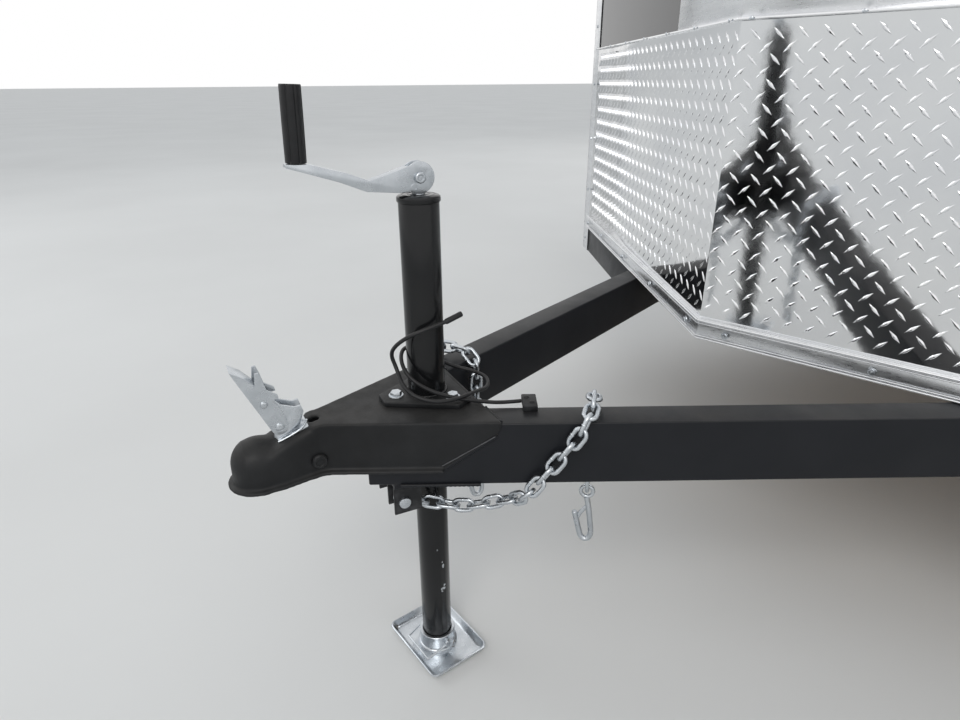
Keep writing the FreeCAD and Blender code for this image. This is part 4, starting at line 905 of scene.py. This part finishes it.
rounded("base_trim", 0.9, 2, crease=20)
trim = Shape()
for z, out, radius in ((514.6, 5.6, 0.002), (519.4, 5.8, 0.0012), (543.6, 5.8, 0.0012), (548.6, 5.6, 0.0022)):
    for side in SIDES:
        trim.tube([nose_point(0, out, z, side), nose_point(guard_length * 0.5, out, z, side),
                   nose_point(guard_length - 1, out, z, side)], radius, 10)
trim.make("base_trim_ribs", "bright_trim", sharp=60)
screws = Shape()
for side in SIDES:
    normal = nose_normal(side)
    for i, u in enumerate((55, 295, 545, 795, 985)):
        screws.hexagon(nose_point(u, 6, 530.8, side), normal, 8.4, 4.2, washer=6.6, turned=0.5 * i)
    for i, u in enumerate((24, 180, 340, 500, 660, 820, 990)):
        screws.button(nose_point(u, 12, 1047.3, side), normal, 3.4, 1.6, 12)
screws.make("nose_trim_screws", "zinc")
rounded("nose_cap", 0.5, 1, crease=15)
rounded("corner_posts", 0.8, 2, crease=15)
rounded("roof_rim", 0.8, 2, crease=15)
POST_Y = 962
POST_LOW, POST_PITCH, POST_SCREWS = 470, 160, 13
posts = Shape()
for side in SIDES:
    normal = nose_normal(side)
    for k in range(POST_SCREWS):
        z = POST_LOW + POST_PITCH * k
        x = NOSE_APEX + 3.3 + POST_Y * tan(NOSE_SWEEP)
        posts.hexagon(at(x - 3.4, side * POST_Y, z), normal, 7.6, 3.2, washer=0, turned=0.3 * k)
        posts.hexagon(at(CORNER_X + 42, side * 993.5, z), (0, side, 0), 7.6, 3.2, washer=0, turned=0.4 * k)
posts.make("corner_post_screws", "zinc")

# Walls and roof panel
SEAM_X = (1888, 2498, 4108)
DOOR_END = 2300
SKIRT_LOW, SEAM_HIGH = 436, 2432


def seams_of(side):
    """Where a wall's sheets meet. The right wall's first seam gives way to the side door."""
    return [x for x in SEAM_X if side < 0 or x > DOOR_END]


rounded("wall_left", 2, 2)
rounded("wall_right", 2, 2)
rounded("nose_wall_left", 0.6, 1)
rounded("nose_wall_right", 0.6, 1)
rounded("roof_panel", 2, 2)
seams = Shape()
for side in SIDES:
    for x in seams_of(side):
        seams.block(at(x - 14, side * WALL_FACE, SKIRT_LOW), at(x + 14, side * 991.6, SEAM_HIGH), 0.0005, 1)
    seams.block(at(CORNER_X + 62, side * WALL_FACE, SKIRT_LOW), at(REAR_X - 52, side * 993.2, 470), 0.0012, 2)
seams.make("wall_seams", "black_skin")
rivets = Shape()
for side in SIDES:
    for x in seams_of(side):
        for k in range(20):
            rivets.button(at(x, side * 991.5, 452 + 103 * k), (0, side, 0), 3.2, 1.6, 10)
    for k in range(24):
        x = CORNER_X + 80 + 150 * k
        if x < REAR_X - 60:
            rivets.button(at(x, side * 993.1, 453), (0, side, 0), 3.4, 1.6, 10)
            rivets.button(at(x, side * 993.5, 2455), (0, side, 0), 3.4, 1.6, 10)
rivets.make("wall_rivets", "bright_trim")

# Plywood linings of the walls and the doors, seen when a door is open
lining = Shape()
for side in SIDES:
    x0 = 2240 if side > 0 else 1320
    lining.block(at(x0, side * 952.3, 534), at(REAR_X - 60, side * 948.3, 2424), 0.0008, 1)
lining.make("wall_lining", "plywood")
ramp_inside = Shape()
for y0, y1 in ((-898, -1), (1, 898)):
    ramp_inside.block(at(REAR_X - 39.6, y0, 545), at(REAR_X - 37.8, y1, 2336), 0.0006, 1)
ramp_inside.make("ramp_door_lining", "plywood", "ramp_door")
door_inside = Shape()
door_inside.block(at(1428, 951, 590), at(2184, 952.8, 2338), 0.0006, 1)
door_inside.make("side_door_lining", "plywood", "side_door")


def bars(u0, u1, z0, z1, below, above, first, last):
    """Four bars inside a panel's outline: their ends along it and in height."""
    return ((u0, u1, z0, z0 + below), (u0, u1, z1 - above, z1), (u0, u0 + first, z0, z1),
            (u1 - last, u1, z0, z1))


# Side door: trim round the leaf, surround on the wall, lock with its paddle and cylinders
rounded("side_door", 1.2, 2)
rounded("side_door_hinges", 0.8, 2)
LOCK_X = 2142
leaf = Shape()
for x0, x1, z0, z1 in bars(1405.7, 2206.7, 565, 2363, 26, 26, 26, 26):
    leaf.block(at(x0, WALL_FACE, z0), at(x1, 992.8, z1), 0.0009, 2)
leaf.make("side_door_edge_trim", "bright_trim", "side_door")
surround = Shape()
for x0, x1, z0, z1 in bars(1372, 2240, 534, 2394, 24, 24, 12, 26):
    surround.block(at(x0, WALL_FACE, z0), at(x1, 993.2, z1), 0.001, 2)
surround.make("side_door_surround", "bright_trim")
rounded("side_door_lock", 3, 3)
lock = Shape()
lock.block(at(2116, 1004.2, 1290), at(2168, 1007.4, 1352), 0.0014, 3)
lock.lathe([(7.5, 0), (7.5, 2.4), (6.6, 3), (2, 3), (1.8, 2), (0, 2)], at(LOCK_X, 1004.4, 1274), (0, 1, 0), 28)
lock.lathe([(6.4, 0), (6.4, 1.8), (5.6, 2.4), (0, 2.4)], at(LOCK_X, 1004.4, 1367), (0, 1, 0), 28)
lock.make("side_door_paddle", "grip_black", "side_door")

# Ramp door: frame, seams, and the guides and levers of its lock bars
rounded("ramp_door", 1.2, 2)
rounded("ramp_hinges", 0.8, 2)
rounded("ramp_locks", 1, 2)
RAMP_FACE = REAR_X + 5
LOCK_BAR_Y = 780
ramp = Shape()
for y0, y1, z0, z1 in bars(-924, 924, 520, 2366, 40, 38, 40, 40):
    ramp.block(at(RAMP_FACE - 0.2, y0, z0), at(RAMP_FACE + 2.6, y1, z1), 0.0009, 2)
ramp.make("ramp_door_frame", "bright_trim", "ramp_door")
ramp_ribs = Shape()
for y in (-462, 0, 462):
    ramp_ribs.block(at(RAMP_FACE - 0.2, y - 11, 566), at(RAMP_FACE + 1.6, y + 11, 2322), 0.0007, 1)
ramp_ribs.make("ramp_door_seams", "black_skin", "ramp_door")
guides = Shape()
for s in SIDES:
    bar = s * LOCK_BAR_Y
    for z in (640, 1080, 1820, 2260):
        guides.block(at(RAMP_FACE, bar - 24, z - 11), at(RAMP_FACE + 4, bar + 24, z + 11), 0.001, 2)
        guides.lathe([(10.6, -11), (13.2, -10), (13.2, 10), (10.6, 11)], at(RAMP_FACE + 10.3, bar, z), UP, 24)
        for t in SIDES:
            guides.hexagon(at(RAMP_FACE + 4, bar + t * 18.5, z), (1, 0, 0), 8, 3.2, turned=0.2)
    tip, keep = bar - s * 190, bar - s * 170
    guides.block(at(RAMP_FACE + 14, min(bar, tip), 1235), at(RAMP_FACE + 20, max(bar, tip), 1265), 0.0024, 3)
    guides.block(at(RAMP_FACE, keep - 18, 1224), at(RAMP_FACE + 14, keep + 18, 1276), 0.0016, 2)
guides.make("ramp_lock_levers", "zinc", "ramp_door")

# Bolts of the licence bracket
plate_bolts = Shape()
for y in (-828.9, -651.1):
    plate_bolts.hexagon(at(REAR_X - 20.2, y, 385.4), (1, 0, 0), 10, 4, washer=8, turned=0.3)
plate_bolts.make("licence_bracket_bolts", "zinc")

# Rear lamps: ribbed lenses
rounded("rear_lamps", 2.2, 3)
LAMP_Y = 960.6
lens = Shape()
for s in SIDES:
    for k in range(9):
        z = 873 + 16 * k
        low = at(REAR_X + 11.4, s * LAMP_Y - 18, z - 1.6)
        high = at(REAR_X + 13, s * LAMP_Y + 18, z + 1.6)
        lens.block(low, high, 0.0006, 1)
lens.make("tail_lamp_ribs", "lamp_red")

# Roof vent: lid with ribs over a flange, and the roof's seams
rounded("roof_vent", 12, 4)
vent = Shape()
vent_low, vent_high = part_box("roof_vent")
VENT_FLANGE = 0.022
vent.block((vent_low[0] - VENT_FLANGE, vent_low[1] - VENT_FLANGE, vent_low[2]),
           (vent_high[0] + VENT_FLANGE, vent_high[1] + VENT_FLANGE, vent_low[2] + 0.006), 0.0015, 2)
for k in range(-2, 3):
    x = (vent_low[0] + vent_high[0]) / 2 + 0.055 * k
    vent.block((x - 0.006, vent_low[1] + 0.03, vent_high[2] - 0.001),
               (x + 0.006, vent_high[1] - 0.03, vent_high[2] + 0.003), 0.0012, 2)
vent.make("roof_vent_flange", "grip_black")
VENT_X, VENT_CLEAR = 2998, 240
roof = Shape()
for k in range(6):
    x = 1600 + 610 * k
    if abs(x - VENT_X) > VENT_CLEAR:
        roof.block(at(x - 12, -985, 2473.8), at(x + 12, 985, 2475.4), 0.0006, 1)
roof.make("roof_seams", "roof_skin")

# Springs: eye bolts, and U-bolts over the axle
SPRING_Y = 927.25
EYE_X, EYE_Z = 330, 365.9
U_BOLT_X, U_BOLT_HALF = 40, 36
under = Shape()
for s in SIDES:
    yc = s * SPRING_Y
    for e in SIDES:
        x = AXLE_X + e * EYE_X
        for t in SIDES:
            under.hexagon(at(x, yc + t * 28.6, EYE_Z), (0, t, 0), 17, 7, washer=10, turned=0.4)
    for e in SIDES:
        x = AXLE_X + e * U_BOLT_X
        path = [at(x, yc - U_BOLT_HALF, 250)]
        for k in range(15):
            a = pi * k / 14
            path.append(at(x, yc - U_BOLT_HALF * cos(a), 340 + U_BOLT_HALF * sin(a)))
        path.append(at(x, yc + U_BOLT_HALF, 250))
        under.tube(path, 0.0055, 12)
        for t in SIDES:
            under.hexagon(at(x, yc + t * U_BOLT_HALF, 256), (0, 0, -1), 19, 8, washer=11, turned=0.2)
under.make("spring_fasteners", "zinc")

# Wheels: rim, pressed disc with windows, hub and nuts
WHEEL_SIDES = 96
STUD_CIRCLE = 0.05715
DISC_THICKNESS = 0.0042
WINDOW_PITCH, WINDOW_STEPS, WINDOW_RINGS = 12, range(3, 9), range(4, 7)
RIM = [(177.4, -72.5), (176.6, -74), (174, -73.6), (173.4, -70), (173.4, -45), (152, -31), (152, 31),
       (173.4, 45), (173.4, 69), (174, 73.2), (176.2, 74), (177.4, 72.5), (177.4, 42), (155.6, 28),
       (155.6, -28), (177.4, -42)]
DISC = [(34, 4), (46, 2.4), (70, 3), (84, 8), (96, 13), (108, 16), (120, 16), (132, 13), (142, 9), (148, 4),
        (152.2, -4)]
HUB = [(39, -60), (39, -2), (34.2, 2), (33, 4), (33, 8), (31.5, 9.5), (31, 30), (29, 35.5), (22, 39),
       (10, 40.4), (0, 40.6)]
for s, name in ((-1, "left"), (1, "right")):
    wheel = "wheel_" + name
    hub = at(AXLE_X, s * TYRE_Y, AXLE_Z)
    axis, across, third = round_axes((0, s, 0))
    rim = Shape()
    rim.lathe(RIM, hub, axis, WHEEL_SIDES, closed=True)
    rim.make(wheel + "_rim", "wheel_silver", wheel, replaces=(wheel,))
    bm = bmesh.new()
    grid = []
    for k in range(WHEEL_SIDES):
        a = 2 * pi * k / WHEEL_SIDES
        way = across * cos(a) + third * sin(a)
        grid.append([bm.verts.new(hub + way * (r * 0.001) + axis * (w * 0.001)) for r, w in DISC])
    for k in range(WHEEL_SIDES):
        for i in range(len(DISC) - 1):
            window = i in WINDOW_RINGS and k % WINDOW_PITCH in WINDOW_STEPS
            if not window:
                a, b = grid[k], grid[(k + 1) % WHEEL_SIDES]
                bm.faces.new((a[i], b[i], b[i + 1], a[i + 1]))
    bmesh.ops.recalc_face_normals(bm, faces=bm.faces[:])
    bmesh.ops.solidify(bm, geom=bm.faces[:], thickness=DISC_THICKNESS)
    mesh = bpy.data.meshes.new(wheel + "_disc")
    bm.to_mesh(mesh)
    bm.free()
    place(wheel + "_disc", mesh, wheel, "wheel_silver", 50)
    nuts = Shape()
    for k in range(5):
        a = 2 * pi * k / 5
        way = across * cos(a) + third * sin(a)
        nuts.hexagon(hub + way * STUD_CIRCLE + axis * 0.003, axis, 19, 15, turned=a, dome=0.3)
    nuts.lathe(HUB, hub, axis, 56)
    nuts.make(wheel + "_nuts", "zinc", wheel, sharp=40)

# Tyres with a ribbed tread
TREAD_STEPS = 240
TYRE_RADIUS = AXLE_Z
GROOVE_RADIUS = 322.5
# Each point: radius, distance across, and which tread blocks it belongs to (0 for none)
SIDEWALL = [(177.9, -68.5, 0), (180, -74, 0), (186, -79, 0), (192, -80.5, 0), (196, -83.5, 0), (210, -91, 0),
            (230, -98, 0), (250, -102, 0), (254, -102.4, 0), (257, -101.6, 0), (280, -101.2, 0),
            (298, -98.6, 0), (310, -95, 0), (318, -90.5, 0), (324.5, -83, 2), (328, -76, 2)]
section = list(SIDEWALL)
ribs = ((-74, -50, 2), (-42, -17, 1), (-10, 10, 0), (17, 42, 1), (50, 74, 2))
for i, (y0, y1, kind) in enumerate(ribs):
    crown = TYRE_RADIUS - 0.00035 * max(abs(y0), abs(y1)) ** 2
    if i:
        section += [(GROOVE_RADIUS, y0 - 1, 0)]
    section += [(crown - 0.6, y0, kind), (crown, y0 + 1.2, kind), (crown, y1 - 1.2, kind),
                (crown - 0.6, y1, kind)]
    if i < len(ribs) - 1:
        section += [(GROOVE_RADIUS, y1 + 1, 0)]
section += [(r, -y, k) for r, y, k in reversed(SIDEWALL)]
for s, name in ((-1, "left"), (1, "right")):
    def blocks(a, i):
        r, w, kind = section[i]
        step = round(a / (2 * pi) * TREAD_STEPS)
        if kind == 2 and (step + (4 if w > 0 else 0)) % 8 < 2:
            return (r - 5.5) / r
        if kind == 1 and (step + (3 if w > 0 else 0)) % 6 < 1:
            return (r - 4) / r
        return 1

    tyre = Shape()
    tyre.lathe([(r, w) for r, w, _ in section], at(AXLE_X, s * TYRE_Y, AXLE_Z), (0, s, 0), TREAD_STEPS,
               closed=True, wobble=blocks)
    tyre.make("tyre_" + name + "_treaded", "tyre_black", "wheel_" + name, sharp=28, replaces=("tyre_" + name,))

# Every CAD node still shown takes its slot's material
for node, obj in frame["nodes"].items():
    if not obj.hide_render:
        obj.data.materials.clear()
        obj.data.materials.append(MATERIALS[SLOT_OF[node]])

# Floor, light and sky
mesh = bpy.data.meshes.new("floor")
span = 180.0
corners = [(-span, -span, 0.0), (span, -span, 0.0), (span, span, 0.0), (-span, span, 0.0)]
mesh.from_pydata(corners, [], [(0, 1, 2, 3)])
floor = bpy.data.objects.new("floor", mesh)
scene.collection.objects.link(floor)
mesh.materials.append(surface("floor_pale", (0.7, 0.69, 0.67), (0.74, 0.73, 0.71), rough=(0.75, 0.85),
                              cloud=0.6))
floor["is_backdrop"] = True


def lamp(name, place_m, target, size, power, colour):
    data = bpy.data.lights.new(name, "AREA")
    data.shape = "DISK"
    data.size = size
    data.energy = power
    data.color = colour
    obj = bpy.data.objects.new(name, data)
    scene.collection.objects.link(obj)
    obj.location = place_m
    obj.rotation_mode = "QUATERNION"
    obj.rotation_quaternion = (Vector(target) - Vector(place_m)).to_track_quat("-Z", "Y")


lamp("key", (-5.2, -4.6, 5.4), (-1.2, 0.0, 0.6), 4.0, 150.0, (1.0, 0.985, 0.96))
lamp("fill", (-6.0, 4.5, 4.0), (-1.2, 0.0, 0.6), 4.0, 55.0, (0.95, 0.975, 1.0))
lamp("back", (6.5, 5.0, 6.0), (1.5, 0.0, 1.0), 5.0, 150.0, (1.0, 1.0, 1.0))
SKY_STRENGTH = 0.72
world = bpy.data.worlds.new("sky")
scene.world = world
world.use_nodes = True
tree = world.node_tree
tree.nodes.clear()
new, link = tree.nodes.new, tree.links.new
out = new("ShaderNodeOutputWorld")


def background(colour, strength):
    node = new("ShaderNodeBackground")
    node.inputs[0].default_value = (*colour, 1.0)
    node.inputs[1].default_value = strength
    return node.outputs[0]


# The sky that lights the object, and the white that is seen directly, mirrored and through glass
rays = new("ShaderNodeLightPath").outputs
white = rays["Is Camera Ray"]
for ray in ("Is Glossy Ray", "Is Transmission Ray"):
    either = new("ShaderNodeMath")
    either.operation = "MAXIMUM"
    link(white, either.inputs[0])
    link(rays[ray], either.inputs[1])
    white = either.outputs[0]
mix = new("ShaderNodeMixShader")
link(white, mix.inputs[0])
link(background((0.9, 0.95, 1.0), SKY_STRENGTH), mix.inputs[1])
link(background((1.0, 1.0, 1.0), 1.0), mix.inputs[2])
link(mix.outputs[0], out.inputs[0])

low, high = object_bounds()
